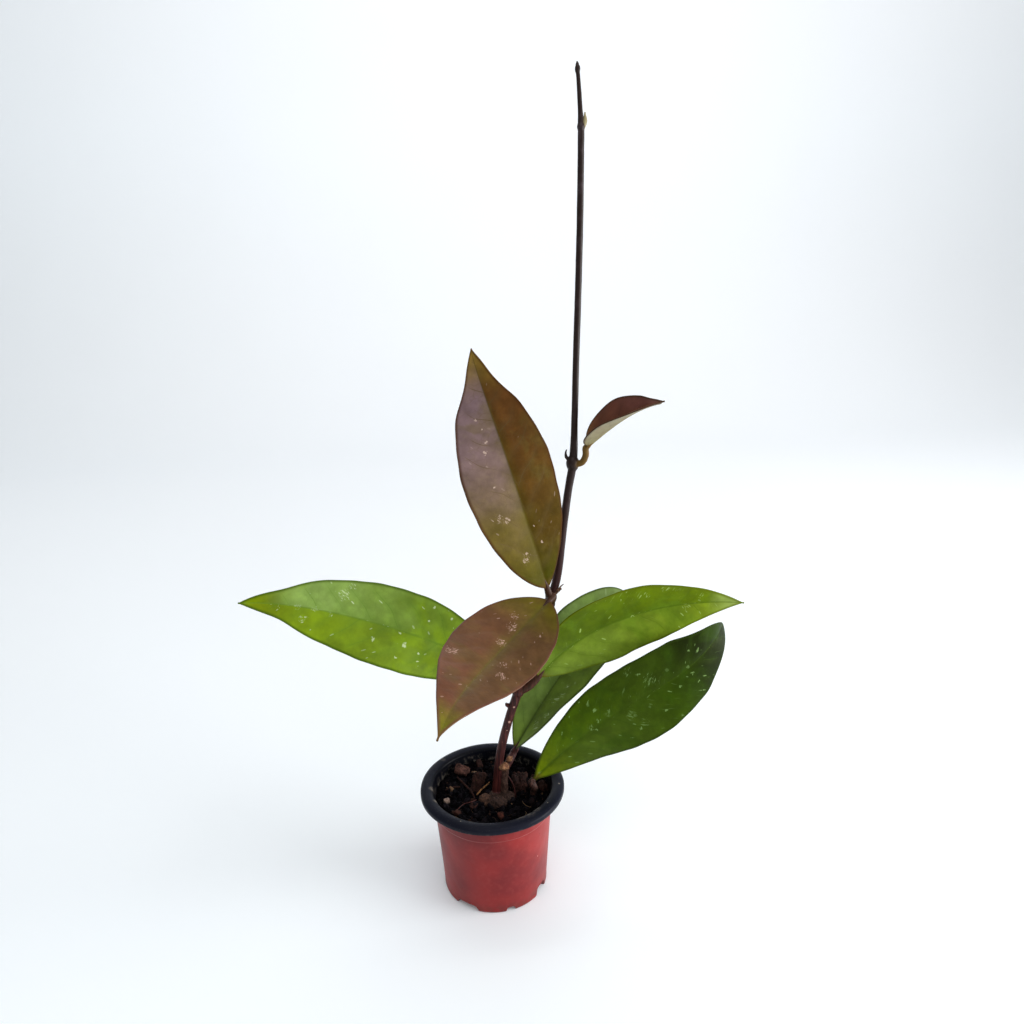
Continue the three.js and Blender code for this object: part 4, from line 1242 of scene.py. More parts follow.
def soil_top(name, bed, clearance):
    """A sheet of the mix's top faces that keep a distance from the pot's wall, to scatter over."""
    reach = body_radius(SOIL_LEVEL) - WALL - clearance
    points = mesh_points(bed.data)
    faces = []
    for polygon in bed.data.polygons:
        corners = points[list(polygon.vertices)]
        inside = np.hypot(corners[:, 0], corners[:, 1]).max() < reach
        if inside and polygon.normal.z > 0.3 and corners[0, 2] > SOIL_LEVEL - 6:
            faces.append(list(polygon.vertices))
    used, faces = renumbered(faces)
    mesh = bpy.data.meshes.new("soil_top")
    mesh.from_pydata([bed.data.vertices[v].co for v in used], [], faces)
    return add_object(name, mesh)


def soil_finish(settings):
    """Moist near-black peat with brown flecks."""
    finish = Finish("potting_mix")
    place = finish.place()
    base = finish.layered(
        screen(1, 1, 4),
        (finish.ramp(finish.noise(place, 0.5, 6, 0.7), 0.45, 0.8), settings.dark),
        (finish.ramp(finish.noise(place, 1.3, 4), 0.6, 0.75, 0, 0.5), settings.light),
    )
    relief = finish.bump(finish.noise(place, 1.1, 6, 0.7), 0.5)
    return finish.done(Base_Color=base, Roughness=0.85, Specular_IOR_Level=0.05, Normal=relief)


def crumb_finish(settings):
    """Crumbs that run from near black to dry brown, with a few tan ones."""
    finish = Finish("mix_crumbs")
    place = finish.place()
    tone = finish.attribute("crumb_tone").outputs["Fac"]
    base = finish.layered(
        screen(2, 2, 6),
        (finish.ramp(tone, 0.55, 0.97), screen(18, 13, 18)),
        (finish.ramp(tone, 0.965, 0.99, 0, 0.8), settings.light),
        (finish.ramp(tone, 0.997, 0.999), screen(118, 92, 72)),
        (finish.ramp(finish.noise(place, 1.6, 3), 0.4, 0.7, 0, 0.35), screen(5, 4, 5)),
    )
    relief = finish.bump(finish.noise(place, 1.6, 5, 0.65), 0.4)
    return finish.done(Base_Color=base, Roughness=0.65, Specular_IOR_Level=0.06, Normal=relief)


def fibre_finish():
    """Thin dry roots and coir fibres."""
    finish = Finish("mix_fibres")
    tone = finish.attribute("crumb_tone").outputs["Fac"]
    base = finish.layered(
        screen(38, 26, 22),
        (finish.ramp(tone, 0.3, 0.8), screen(78, 54, 40)),
        (finish.ramp(tone, 0.93, 0.98), screen(150, 118, 84)),
        (finish.noise(finish.place(), 0.8, 3), screen(40, 28, 22)),
    )
    return finish.done(Base_Color=base, Roughness=0.8, Specular_IOR_Level=0.25)


# Vine
def stalk_path(name, stalk, step=0.7):
    """Path of a leaf stalk that runs on under the base of its blade and thins out as the rib."""
    blade = BLADES[name]
    tangent, normal, _ = blade_axes(blade, np.array([0.0]))
    centre = Vector(blade["base"]) - Vector(normal[0]) * (RIB_THICKNESS / 2)
    tangent = Vector(tangent[0])
    radius = stalk["radius"]
    before = centre - tangent * stalk.get("approach", 3.2)
    points = [*stalk["points"], before, centre, centre + tangent * 3, centre + tangent * 7]
    radii = [radius] * len(stalk["points"]) + [radius * 0.98, radius * 0.86, radius * 0.5, radius * 0.2]
    return smooth_path(points, radii, step)


def vine_paths():
    """Every path of the vine, with how corky, olive and pale it is."""
    bark, cork, callus = (0, 0, 0), (1, 0, 0), (1, 0, 1)
    shades = {"leaf_young": (0, 1, 0), "leaf_rear": (0.25, 0, 0.1)}
    paths = [
        (smooth_path([p for p, _ in STEM], [r for _, r in STEM], 1.5), bark),
        (smooth_path([p for p, _ in STUMP], [r for _, r in STUMP], 1.0), (0.65, 0, 0.05)),
    ]
    paths += [(knob_path(joint), bark) for joint in STEM_JOINTS]
    paths += [(knob_path(knob), callus) for knob in CALLUSES]
    paths += [(knob_path(knob), (1, 0, knob.get("pale", 0))) for knob in CROWN]
    for name, stalk in STALKS.items():
        paths.append((stalk_path(name, stalk), shades.get(name, (0, 0.15, 0))))
    for root in ROOTS:
        turn = math.radians(root["angle"])
        reaches = [s * root["reach"] for s in (0, 0.3, 0.75, 1)]
        depths = (ROOT_START, ROOT_START - 3, (ROOT_START + root["bottom"]) / 2, root["bottom"])
        points = [
            (STEM[1][0][0] + reach * math.cos(turn), reach * math.sin(turn), z)
            for reach, z in zip(reaches, depths)
        ]
        radii = [root["radius"] * s for s in (1, 0.9, 0.7, 0.45)]
        paths.append((smooth_path(points, radii, 2), cork))
    return paths


# How corky, olive and pale the thin growths are, and over how many millimetres shades blend
TENDRIL_SHADES = {
    "bud_at_top_joint": (0, 0.4, 0.9),
    "growing_tip": (0, 0, 0.1),
    "spent_spur": (0.8, 0, 0.3),
    "spur_thread": (1, 0, 0.6),
    "leaf_scar": (0.1, 0, 0),
    "wire_root": (0.3, 0, 0),
}
SHADE_BLEND = 0.35

# Waves of relief to a metre, along each axis
RIDGE_WAVES = (900, 900, 70)
SWELL_WAVES = (160, 160, 110)
CORK_WAVES = (320, 320, 280)
BARK_BROAD_WAVES = (230, 230, 180)
BARK_FINE_WAVES = (900, 900, 600)


def shade_vine(piece, paths):
    """Gives each point of the vine the shades of the paths whose skins lie nearest to it."""
    spots = [(spot, radius, shade) for path, shade in paths for spot, radius in path]
    tree = KDTree(len(spots))
    for k, (spot, _, _) in enumerate(spots):
        tree.insert(spot, k)
    tree.balance()
    found = [tree.find_n(point, 16) for point in mesh_points(piece.data)]
    nearest = np.array([[index for _, index, _ in row] for row in found])
    gaps = np.array([[gap for _, _, gap in row] for row in found])
    radii = np.array([radius for _, radius, _ in spots])
    tints = np.array([shade for _, _, shade in spots], float)
    weights = np.exp((radii[nearest] - gaps) / SHADE_BLEND)
    shades = (tints[nearest] * weights[..., None]).sum(1) / weights.sum(1)[:, None]
    store(piece.data, "vine_shade", shades)


def fused_vine(settings, skin):
    """Stem, stump, crown, roots and leaf stalks, grown into one body."""
    paths = vine_paths()
    tubes = curves_object("vine_core", [path for path, _ in paths])
    tube_tree().put_on(tubes, Sides=STEM_SIDES, Skin=skin)
    core = worked(tubes)
    fuse = core.modifiers.new("Grown together", "REMESH")
    fuse.mode = "VOXEL"
    fuse.voxel_size = settings.voxel
    fuse.use_smooth_shade = True
    soften = core.modifiers.new("Soft joints", "SMOOTH")
    soften.factor = 0.5
    soften.iterations = 3
    ridges = Growth("Bark ridges", {"Depth": "float", "Skin": "material"})
    lengthwise = ridges.relief(ridges.given["Geometry"], RIDGE_WAVES, ridges.given["Depth"], 3.0)
    lumpy = ridges.relief(lengthwise, SWELL_WAVES, ridges.given["Depth"], 2.0)
    smooth = ridges.node("GeometryNodeSetShadeSmooth", {"Geometry": lumpy})
    ridges.close(smooth["Geometry"])
    ridges.put_on(core, Depth=settings.relief, Skin=skin)
    stem = worked(core)
    shade_vine(stem, paths)
    corky = Growth("Corky lumps", {"Depth": "float", "Skin": "material"})
    shade = corky.node(
        "GeometryNodeInputNamedAttribute", {"Name": "vine_shade"}, data_type="FLOAT_VECTOR"
    )
    cork = corky.node("ShaderNodeSeparateXYZ", {"Vector": shade["Attribute"]})["X"]
    depth = corky.math("MULTIPLY", cork, corky.given["Depth"])
    corky.close(corky.relief(corky.given["Geometry"], CORK_WAVES, depth, 5.0))
    corky.put_on(stem, Depth=settings.cork_relief, Skin=skin)
    stem = worked(stem)
    fine_paths = [
        (smooth_path(points, radii, 0.4), TENDRIL_SHADES.get(name, (0.3, 0, 0)))
        for name, (points, radii) in TENDRILS.items()
    ]
    threads = curves_object("vine_threads", [path for path, _ in fine_paths])
    tube_tree().put_on(threads, Sides=THREAD_SIDES, Skin=skin)
    threads = worked(threads)
    shade_vine(threads, fine_paths)
    return joined("vine_stem", [stem, threads])


# Pale scars on the stem: place and size
STEM_SCARS = (
    ((14.2, -2.3, 115.8), 1.1), ((11.3, -2.3, 106.4), 1.4), ((9.8, -2.4, 101), 0.6),
    ((22.4, -2.2, 139), 0.6),
)


def vine_finish(settings):
    """Dark stem bark that turns to cork at the foot, with pale calluses and scars."""
    finish = Finish("vine_bark")
    place = finish.place()
    z = finish.split(place)[2]
    cork, olive, pale = finish.split(finish.attribute("vine_shade").outputs["Vector"])
    streaks = finish.noise(finish.stretch(place, (1, 1, 0.06)), 1.1, 4)
    russet = finish.product(finish.ramp(streaks, 0.4, 0.7, 0, 0.5), finish.ramp(z, 190, 120))
    cloudy = finish.ramp(finish.noise(place, 0.09, 3), 0.5, 0.75)
    bloom = finish.product(cloudy, finish.ramp(z, 260, 440, 0.03, 0.7))
    lenticels = finish.cells(finish.stretch(place, (1, 1, 0.6)), 0.42)
    seen = finish.math("GREATER_THAN", finish.split(lenticels.outputs["Color"])[0], 0.8)
    dot = finish.ramp(lenticels.outputs["Distance"], 0.16, 0.07)
    scars = finish.most(*(finish.near(place, spot, size) for spot, size in STEM_SCARS))
    scar = finish.total(scars, finish.centred(finish.noise(place, 1.4, 3), 0.8))
    bark = finish.layered(
        settings.lower,
        (finish.ramp(z, 150, 262), settings.upper),
        (russet, screen(104, 52, 46)),
        (finish.ramp(streaks, 0.5, 0.25, 0, 0.6), screen(28, 14, 16)),
        (bloom, screen(98, 84, 90)),
        (finish.product(dot, seen, finish.ramp(z, 260, 200, 0, 0.35)), screen(150, 104, 88)),
        (finish.ramp(scar, 0.25, 0.7, 0, 0.75), screen(196, 152, 136)),
        (olive, settings.olive),
    )
    crust = finish.noise(place, 0.9, 6, 0.7)
    scabby = finish.blend(finish.ramp(crust, 0.38, 0.62), screen(104, 66, 50), settings.tan)
    corky = finish.layered(
        screen(36, 25, 22), (finish.ramp(crust, 0.35, 0.7), settings.cork), (pale, scabby)
    )
    ragged = finish.total(cork, finish.centred(crust, 0.6))
    base = finish.layered(
        bark,
        (finish.ramp(ragged, 0.25, 0.75), corky),
        (finish.product(olive, pale), screen(206, 196, 150)),
    )
    bumps = finish.bump(finish.noise(place, 1.6, 4), 0.08)
    return finish.done(
        Base_Color=base, Roughness=finish.total(finish.product(cork, 0.35), 0.42),
        Normal=finish.bump(finish.product(crust, cork), 0.9, bumps), Specular_IOR_Level=0.2,
    )


# Blades
def swing(ends, t):
    """An angle in radians along a blade, from its value at the base and tip, its bow and its hook."""
    start, end, bow, hook = ends
    return np.radians(start + (end - start) * t + bow * 4 * t * (1 - t) + hook * t**HOOK_POWER)


def blade_axes(blade, t):
    """Directions along the midrib, out of the upper face, and to the side."""
    heading, rise, roll = (swing(blade[key], t) for key in ("heading", "rise", "roll"))
    east, north = np.cos(heading), np.sin(heading)
    tangent = np.stack([np.cos(rise) * east, np.cos(rise) * north, np.sin(rise)], 1)
    upright = np.stack([-np.sin(rise) * east, -np.sin(rise) * north, np.cos(rise)], 1)
    level = np.cross(tangent, upright)
    normal = upright * np.cos(roll)[:, None] + level * np.sin(roll)[:, None]
    return tangent, normal, np.cross(tangent, normal)


def midrib(blade, t):
    """Points of the midrib's upper side, from the base."""
    tangents, _, _ = blade_axes(blade, (t[1:] + t[:-1]) / 2)
    steps = np.diff(t)[:, None] * blade["length"]
    return np.vstack([np.zeros(3), np.cumsum(tangents * steps, 0)]) + np.array(blade["base"])


def fullness(blade, t):
    """Half width along the blade, as a share of its greatest, drawn in a little before the tip."""
    shoulder, taper = blade["shoulder"], blade["taper"]
    peak = shoulder / (shoulder + taper)
    near_tip = np.clip((t - POINT_START) / (1 - POINT_START), 0, 1)
    drawn_in = blade.get("point", 0) * np.sin(math.pi * near_tip) ** 2
    return (t**shoulder * (1 - t) ** taper) / (peak**shoulder * (1 - peak) ** taper) * (1 - drawn_in)


def blade_rows(settings):
    """Shares along the blade, closer together at the base and the tip."""
    even = np.linspace(0, 1, settings.rows + 1)
    return even - 0.6 * np.sin(math.tau * even) / math.tau


def vein_phase(x, y, seed):
    """A number that passes a whole value at each side vein; x is out from the midrib, y along it."""
    away = np.abs(x)
    wander = 1.5 * np.sin(0.09 * y + seed) + 1.0 * np.sin(0.31 * away + 0.07 * y + 2 * seed)
    along = y - VEIN_RISE * away - VEIN_ARCH * away**2 + wander * np.minimum(away / 8, 1)
    return along / VEIN_SPACING + VEIN_SIDE_SHIFT * (x > 0) + 0.37 * seed


def blade_piece(name, settings):
    """A blade with a rounded margin, a grooved midrib, side veins and a gentle wave."""
    blade = BLADES[name]
    seed = LEAF_LOOKS[name]["seed"]
    t = blade_rows(settings)
    _, normal, side = blade_axes(blade, t)
    middle = midrib(blade, t)
    full = fullness(blade, t)
    half = np.maximum(blade["width"] / 2 * full, np.where(t < 0.5, BASE_HALF_WIDTH, TIP_HALF_WIDTH))
    y = t * blade["length"]
    wobble = 0.006 * np.sin(0.21 * y + seed) + 0.004 * np.sin(0.47 * y + 2 * seed)
    strips = np.linspace(-1, 1, settings.columns + 1)
    upper_u = np.sign(strips) * np.abs(strips) ** 0.9
    rim_turns = np.radians([30, 60, 90, 120, 150])
    fold = math.radians(blade["fold"])
    scale = 0.35 if name == "leaf_young" else 1.0

    def surface(u):
        """The upper face at a share of the half width, for every row."""
        u = np.broadcast_to(u, (len(t),))
        across = half * (1 + wobble) * u * math.cos(fold) * (1 + blade["skew"] * np.sign(u))
        lift = half * (np.abs(u) * math.sin(fold) - blade["curl"] * u * u)
        turn = math.tau * (blade["waves"] * t + blade["phase"]) + np.where(u > 0, WAVE_SIDE_SHIFT, 0)
        ripple = blade["wave"] * np.sin(turn) * u * u * full
        return middle + side * across[:, None] + normal * (lift + ripple)[:, None]

    def thickness(u):
        """Distance from the upper to the lower face."""
        taper = np.clip(np.minimum(t / 0.02, (1 - t) / 0.05), 0.45, 1)
        return (EDGE_THICKNESS + (RIB_THICKNESS - EDGE_THICKNESS) * (1 - np.abs(u)) ** 2) * taper

    def relief(u):
        """How far the upper face is pushed in or out by the midrib and the veins."""
        x = half * u
        groove = settings.groove / MM * np.exp(-((x / 1.3) ** 2)) * (1 - t) ** 0.6
        phase = vein_phase(x, y, seed)
        channel = (0.5 + 0.5 * np.cos(math.tau * phase)) ** 8
        pillow = 0.5 - 0.5 * np.cos(math.tau * phase)
        broad = np.clip(half / 12, 0, 1)
        fade = np.clip((half - np.abs(x)) / 4, 0, 1) * np.clip(np.abs(x) / 2, 0, 1) * broad
        veins = settings.veins / MM * fade * (0.8 * pillow - channel)
        soft = 0.12 * np.sin(0.16 * y + 0.11 * x + seed) * broad
        return (veins + soft - groove) * scale

    def under_relief(u):
        """How far the lower face stands out at the midrib."""
        x = half * u
        return settings.rib / MM * np.exp(-((x / 1.5) ** 2)) * (1 - t) ** 0.8 * scale

    rings, place, shares, edges = [], [], [], []

    def add(points, u, upper, edge):
        """Adds a line of points from base to tip, with its place on the blade."""
        rings.append(points)
        u_all = np.broadcast_to(u, t.shape)
        place.append(np.stack([half * u_all, y, vein_phase(half * u_all, y, seed)], 1))
        shares.append(np.stack([t, u_all, np.broadcast_to(upper, t.shape)], 1))
        edges.append(np.broadcast_to(edge, t.shape))

    def rim(sign):
        """The rounded margin, from the upper face over to the lower one."""
        radius = thickness(sign) / 2
        inset = np.clip(1 - radius / half, 0.3, 1)
        centre = surface(sign * inset) - normal * radius[:, None]
        outward = side * sign
        for turn in rim_turns if sign > 0 else rim_turns[::-1]:
            out, up = (radius * np.sin(turn))[:, None], (radius * np.cos(turn))[:, None]
            add(centre + normal * up + outward * out, sign * 1.0, 0.5 + 0.5 * np.cos(turn), 0.0)

    margin = np.clip(1 - thickness(1.0) / 2 / half, 0.3, 1)
    for u in upper_u:
        at = u * margin
        add(surface(at) + normal * relief(at)[:, None], at, 1.0, half * (1 - np.abs(at)))
    rim(1)
    for u in upper_u[::-1]:
        at = u * margin
        drop = thickness(at) + under_relief(at)
        add(surface(at) - normal * drop[:, None], at, 0.0, half * (1 - np.abs(at)))
    rim(-1)
    piece = skinned_rings(f"blade_{name.removeprefix('leaf_')}", np.stack(rings, 1))
    for title, columns in (("blade_place", place), ("blade_share", shares), ("blade_edge", edges)):
        values = np.stack(columns, 1)
        flat = values.reshape(-1, 3) if values.ndim == 3 else values.ravel()
        ends = [values[0].mean(0), values[-1].mean(0)]
        store(piece.data, title, np.concatenate([flat, np.array(ends)]))
    return piece


def leaf_finish(name, settings):
    """Waxy blade: halves in two tones that are partly painted light and shade, midrib, side veins with
    painted shade beside them, silver flecks and a thin dark margin.
    """
    look = LEAF_LOOKS[name]
    seed = look["seed"]
    finish = Finish(f"{name}_skin")
    x, y, phase = finish.split(finish.attribute("blade_place").outputs["Vector"])
    t, u, upper = finish.split(finish.attribute("blade_share").outputs["Vector"])
    edge = finish.attribute("blade_edge").outputs["Fac"]
    away = finish.math("ABSOLUTE", x)
    half_side = finish.ramp(x, -0.5, 0.5)
    sheet = finish.join(x, y, float(seed))
    broad = finish.noise(sheet, 0.045, 3)
    mottle = finish.noise(sheet, 0.28, 5, 0.6)
    shifted = finish.total(t, finish.centred(broad, 0.4))
    ended = finish.total(t, finish.centred(broad, 0.1))

    # Colours of the halves, partly painted light and shade across the fold, with their drifts and clouds
    glow = finish.ramp(finish.math("ABSOLUTE", u), 0.3, 0.0, 0, look["glow"])
    face = finish.layered(
        finish.blend(half_side, *look["near"]),
        (finish.ramp(shifted, 0.2, 0.8), finish.blend(half_side, *look["far"])),
        (finish.ramp(ended, 0.24, 0.0, 0, 0.9), look["base"]),
        (finish.ramp(ended, *look["tip_from"]), look["tip"]),
        (finish.product(glow, finish.ramp(t, 1.0, 0.6)), look["rib"]),
    )
    light = finish.ramp(mottle, 0.45, 0.8, 0, 0.3)
    face = finish.blend(light, face, (0.8, 0.85, 0.6), "SOFT_LIGHT")
    blotch, strength = look["blotch"]
    drifted = finish.noise(finish.join(y, x, 2.3 * seed), 0.055, 3, 0.55, 0.6)
    face = finish.blend(finish.ramp(drifted, 0.5, 0.68, 0, strength), face, blotch)
    cloud = finish.ramp(finish.noise(sheet, 0.11, 4, 0.6), 0.32, 0.68, 0.84, 1.16)
    face = finish.blend(1.0, face, finish.join(cloud, cloud, cloud), "MULTIPLY")
    shaded = finish.blend(1.0, face, (0.72, 0.74, 0.7), "MULTIPLY")

    # Midrib and veins
    rib_width = finish.total(finish.less(1.0, t), 0.4)
    rib = finish.math("SUBTRACT", 1.0, finish.math("DIVIDE", away, rib_width), clamp=True)
    cycle = finish.math("ABSOLUTE", finish.less(finish.math("FRACT", phase), 0.5))
    vein = finish.ramp(cycle, 0.472, 0.497)
    fade = finish.product(
        finish.ramp(edge, 1.0, 6.0), finish.ramp(finish.noise(sheet, 0.07, 2), 0.38, 0.6)
    )
    # painted shade: each side vein's dip is darkened towards the vein colour
    painted_vein_shade = finish.product(finish.ramp(cycle, 0.15, 0.5, 0, 0.2), finish.ramp(edge, 1.0, 8.0))
    bent = finish.total(x, finish.centred(finish.noise(sheet, 0.2, 3), 7))
    web = finish.cells(finish.join(bent, y, 1.7 * seed), 0.2, "DISTANCE_TO_EDGE")
    net = finish.product(finish.ramp(web.outputs["Distance"], 0.06, 0.0), fade, look["net"])
    face = finish.layered(
        face,
        (finish.ramp(broad, 0.5, 0.25, 0, 0.5), shaded),
        (finish.ramp(rib, 0.0, 0.9, 0, look["rib_line"]), look["rib"]),
        (painted_vein_shade, look["vein"]),
        (finish.product(vein, fade, look["vein_strength"]), look["vein"]),
        (net, look["vein"]),
    )

    # Flecks
    along_vein = finish.product(phase, VEIN_SPACING * 0.95)
    side_seed = finish.math("MULTIPLY_ADD", half_side, 9.0, float(seed))
    slant = finish.join(finish.product(away, look["stretch"]), along_vein, side_seed)
    uneven = finish.noise(sheet, 1.1, 4, 0.7)
    strength, rarity = look["dots"]
    dots = finish.product(finish.spots(slant, 0.36, rarity, 0.24, uneven), strength)
    strength, rarity = look["spots"]
    spots = finish.product(finish.spots(sheet, 0.14, rarity, 0.2, uneven), strength)
    sway_x = finish.centred(finish.noise(sheet, 0.55, 3), 3.6)
    sway_y = finish.centred(finish.noise(finish.join(y, x, float(seed)), 0.55, 3), 3.6)
    swayed = finish.join(finish.total(x, sway_x), finish.total(y, sway_y), 0.0)
    clumped = finish.ramp(finish.nearest(swayed, CLUMPS[name]), 1.4, 0.45)
    strewn = finish.ramp(finish.noise(sheet, 0.085, 2), 0.56, 0.66, 0, look.get("patches", 0.0))
    sparse = finish.less(1.0, finish.most(clumped, strewn))
    grain = finish.noise(slant, 0.9, 3, 0.6, 0.6)
    patches = finish.ramp(finish.less(grain, finish.product(sparse, 0.3)), 0.51, 0.63, 0, 0.6)
    frayed = finish.total(finish.nearest(swayed, BLOTS[name]), uneven)
    blots = finish.ramp(frayed, 1.35, 0.95, 0, 0.75)
    thin = finish.join(finish.product(away, 0.1), along_vein, side_seed)
    lines = finish.ramp(finish.noise(thin, 1.3, 2, 0.6), 0.66, 0.76)
    streaks = finish.product(lines, finish.ramp(broad, 0.4, 0.6, 0, look.get("streaks", 0.0)))
    flecks = finish.product(
        finish.most(dots, spots, patches, blots, streaks), finish.ramp(edge, 0.6, 2.0, 0, 0.85)
    )

    # Blush at the base, lower face and margin
    blush = finish.product(finish.ramp(t, 0.05, 0.0), finish.ramp(mottle, 0.2, 0.6, 0.5, 0.9))
    face = finish.layered(face, (flecks, look["fleck"]), (blush, screen(92, 66, 34)))
    lower_face = finish.layered(
        look["under"],
        (finish.ramp(mottle, 0.4, 0.7, 0, 0.3), face),
        (finish.product(vein, 0.25), look["vein"]),
    )
    base = finish.layered(
        face,
        (finish.ramp(upper, 0.55, 0.45), lower_face),
        (finish.ramp(edge, 2.0, 0.5, 0, 0.75), look["margin"]),
    )
    rough = finish.total(
        finish.product(flecks, 0.15), finish.product(mottle, 0.1), settings.gloss - 0.05
    )
    fine = finish.bump(finish.noise(sheet, 1.2, 4), 0.03)
    return finish.done(
        Base_Color=base, Roughness=rough,
        Normal=finish.bump(finish.noise(sheet, 0.16, 3), 0.25, fine),
        Specular_IOR_Level=look["shine"], Specular_Tint=(1.0, 1.0, 0.35, 1.0),
    )


# Bark, grit, twigs and roots on the mix: how fine they are and their relief
BARK_PIECES = {
    "bark_chunk": {"level": 4, "depth": 2.4},
    "bark_chunk_small": {"level": 4, "depth": 1.6},
    "bark_chip_upright": {"level": 4, "depth": 1.4},
    "bark_chip_back": {"level": 4, "depth": 1.3},
    "bark_chip_left": {"level": 3, "depth": 1.0},
    "bark_chip_front": {"level": 3, "depth": 0.5},
    "bark_chip_red": {"level": 3, "depth": 0.5},
    "bark_chip_far": {"level": 3, "depth": 0.5},
    "pebble": {"level": 3, "depth": 0.3},
    "pale_root": {"level": 2, "depth": 0.12},
    "twig_long": {"level": 2, "depth": 0.2},
    "twig_short": {"level": 2, "depth": 0.2},
    "front_stalk": {"level": 4, "depth": 1.1},
}


def merged_copy(node, name):
    """A copy of a construction node with its loose corners merged."""
    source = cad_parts[node].data
    points, faces, seen = [], [], {}
    for polygon in source.polygons:
        face = []
        for v in polygon.vertices:
            spot = source.vertices[v].co
            key = tuple(round(c / MM * 1000) for c in spot)
            if key not in seen:
                seen[key] = len(points)
                points.append(tuple(spot))
            face.append(seen[key])
        if len(set(face)) == len(face):
            faces.append(face)
    mesh = bpy.data.meshes.new(name)
    mesh.from_pydata(points, [], faces)
    mesh.update()
    return add_object(name, mesh)


def bark_finish(name, settings, tint=None):
    """Dry flaky bark with dark cracks."""
    finish = Finish(name)
    place = finish.place()
    fibres = finish.noise(finish.stretch(place, (1.0, 1.0, 0.35)), 0.9, 6, 0.7)
    patches = finish.noise(place, 0.22, 3)
    base = finish.layered(
        settings.dark,
        (finish.ramp(fibres, 0.3, 0.65), tint or settings.brown),
        (finish.ramp(patches, 0.5, 0.75, 0, 0.6), screen(74, 44, 36)),
        (finish.ramp(patches, 0.48, 0.25, 0, 0.8), screen(24, 16, 16)),
    )
    relief = finish.bump(fibres, 0.6)
    return finish.done(Base_Color=base, Roughness=0.85, Normal=relief, Specular_IOR_Level=0.15)


def grit_finish(settings):
    """A pale dull pebble with darker grains, darker towards its foot."""
    finish = Finish("grit")
    place = finish.place()
    speck = finish.ramp(finish.noise(place, 1.2, 5), 0.42, 0.62, 0, 0.75)
    level = finish.total(finish.split(place)[2], finish.product(finish.noise(place, 0.6, 4), 2.4))
    base = finish.layered(
        settings.grit,
        (speck, screen(72, 56, 50)),
        # darker towards the pebble's foot
        (finish.ramp(level, 59.6, 58.4, 0, 0.95), screen(26, 19, 18)),
    )
    relief = finish.bump(speck, 0.1)
    return finish.done(Base_Color=base, Roughness=0.75, Normal=relief, Specular_IOR_Level=0.35)


def stalk_finish():
    """Corky brown stalk of the front leaf, greener where it meets the blade."""
    finish = Finish("front_stalk_cork")
    place = finish.place()
    crust = finish.noise(finish.stretch(place, (1, 1, 0.5)), 0.9, 6, 0.7)
    base = finish.layered(
        screen(30, 17, 13),
        (finish.ramp(crust, 0.38, 0.66), screen(78, 46, 36)),
        (finish.ramp(finish.split(place)[2], 72, 77, 0, 0.5), screen(92, 80, 36)),
    )
    relief = finish.bump(crust, 0.35)
    return finish.done(Base_Color=base, Roughness=0.7, Normal=relief, Specular_IOR_Level=0.35)


# Operators
class HOYA_OT_pot(bpy.types.Operator):
    """Builds the two-tone nursery pot"""

    bl_idname = "hoya.pot"
    bl_label = "Nursery Pot"

    def execute(self, context):
        settings = context.scene.hoya_pot
        piece = pot_shell(settings)
        piece.data.materials.append(pot_finish(settings))
        settle(piece, "pot", "pot")
        return {"FINISHED"}


class HOYA_OT_potting_mix(bpy.types.Operator):
    """Builds the potting mix and scatters its crumbs, grains and fibres"""

    bl_idname = "hoya.potting_mix"
    bl_label = "Potting Mix"

    def execute(self, context):
        settings = context.scene.hoya_mix
        bed = soil_bed(settings)
        bed.data.materials.append(soil_finish(settings))
        crumb_skin = crumb_finish(settings)
        scatter = crumb_tree()
        for name, density, sizes, detail in (
            ("soil_crumbs", settings.crumbs, CRUMB_SIZES, 2),
            ("soil_grains", settings.grains, GRAIN_SIZES, 1),
        ):
            smallest, largest = sizes
            sheet = soil_top(name, bed, largest * 0.9)
            scatter.put_on(
                sheet, Density=float(density), Smallest=smallest * MM, Largest=largest * MM,
                Detail=detail, Seed=settings.seed, Skin=crumb_skin,
            )
            settle(worked(sheet), "soil")
        sheet = soil_top("soil_fibres", bed, FIBRE_CLEARANCE)
        fibre_tree().put_on(
            sheet, Density=float(settings.fibres), Length=FIBRE_LENGTH * MM,
            Thickness=FIBRE_THICKNESS * MM, Seed=settings.seed, Skin=fibre_finish(),
        )
        settle(worked(sheet), "soil")
        settle(bed, "soil", "soil")
        return {"FINISHED"}


class HOYA_OT_bark(bpy.types.Operator):
    """Builds the bark, grit, twigs and loose root that lie on the mix, and the front leaf's stalk"""

    bl_idname = "hoya.bark"
    bl_label = "Bark and Twigs"

    def execute(self, context):
        settings = context.scene.hoya_bark
        bark = bark_finish("bark", settings)
        skins = {
            "pebble": grit_finish(settings),
            "pale_root": bark_finish("root", settings, settings.root),
            "front_stalk": stalk_finish(),
            "bark_chip_red": bark_finish("red_bark", settings, screen(86, 44, 34)),
            "bark_chip_back": bark_finish("pink_bark", settings, screen(104, 70, 62)),
        }
        slots = {"pebble": "grit", "pale_root": "root_tan", "front_stalk": "stalk"}
        rough = bark_tree()
        for node, look in BARK_PIECES.items():
            piece = merged_copy(node, f"{node}_finished")
            rough.put_on(
                piece, Level=look["level"], Broad=BARK_BROAD_WAVES, Fine=BARK_FINE_WAVES,
                Depth=look["depth"] * settings.relief, Skin=skins.get(node, bark),
            )
            settle(worked(piece), slots.get(node, "bark"), node)
        return {"FINISHED"}


class HOYA_OT_vine(bpy.types.Operator):
    """Builds the stem with its stump, crown, joints, leaf stalks and buds"""

    bl_idname = "hoya.vine"
    bl_label = "Vine"

    def execute(self, context):
        settings = context.scene.hoya_vine
        settle(fused_vine(settings, vine_finish(settings)), "vine", "vine")
        return {"FINISHED"}


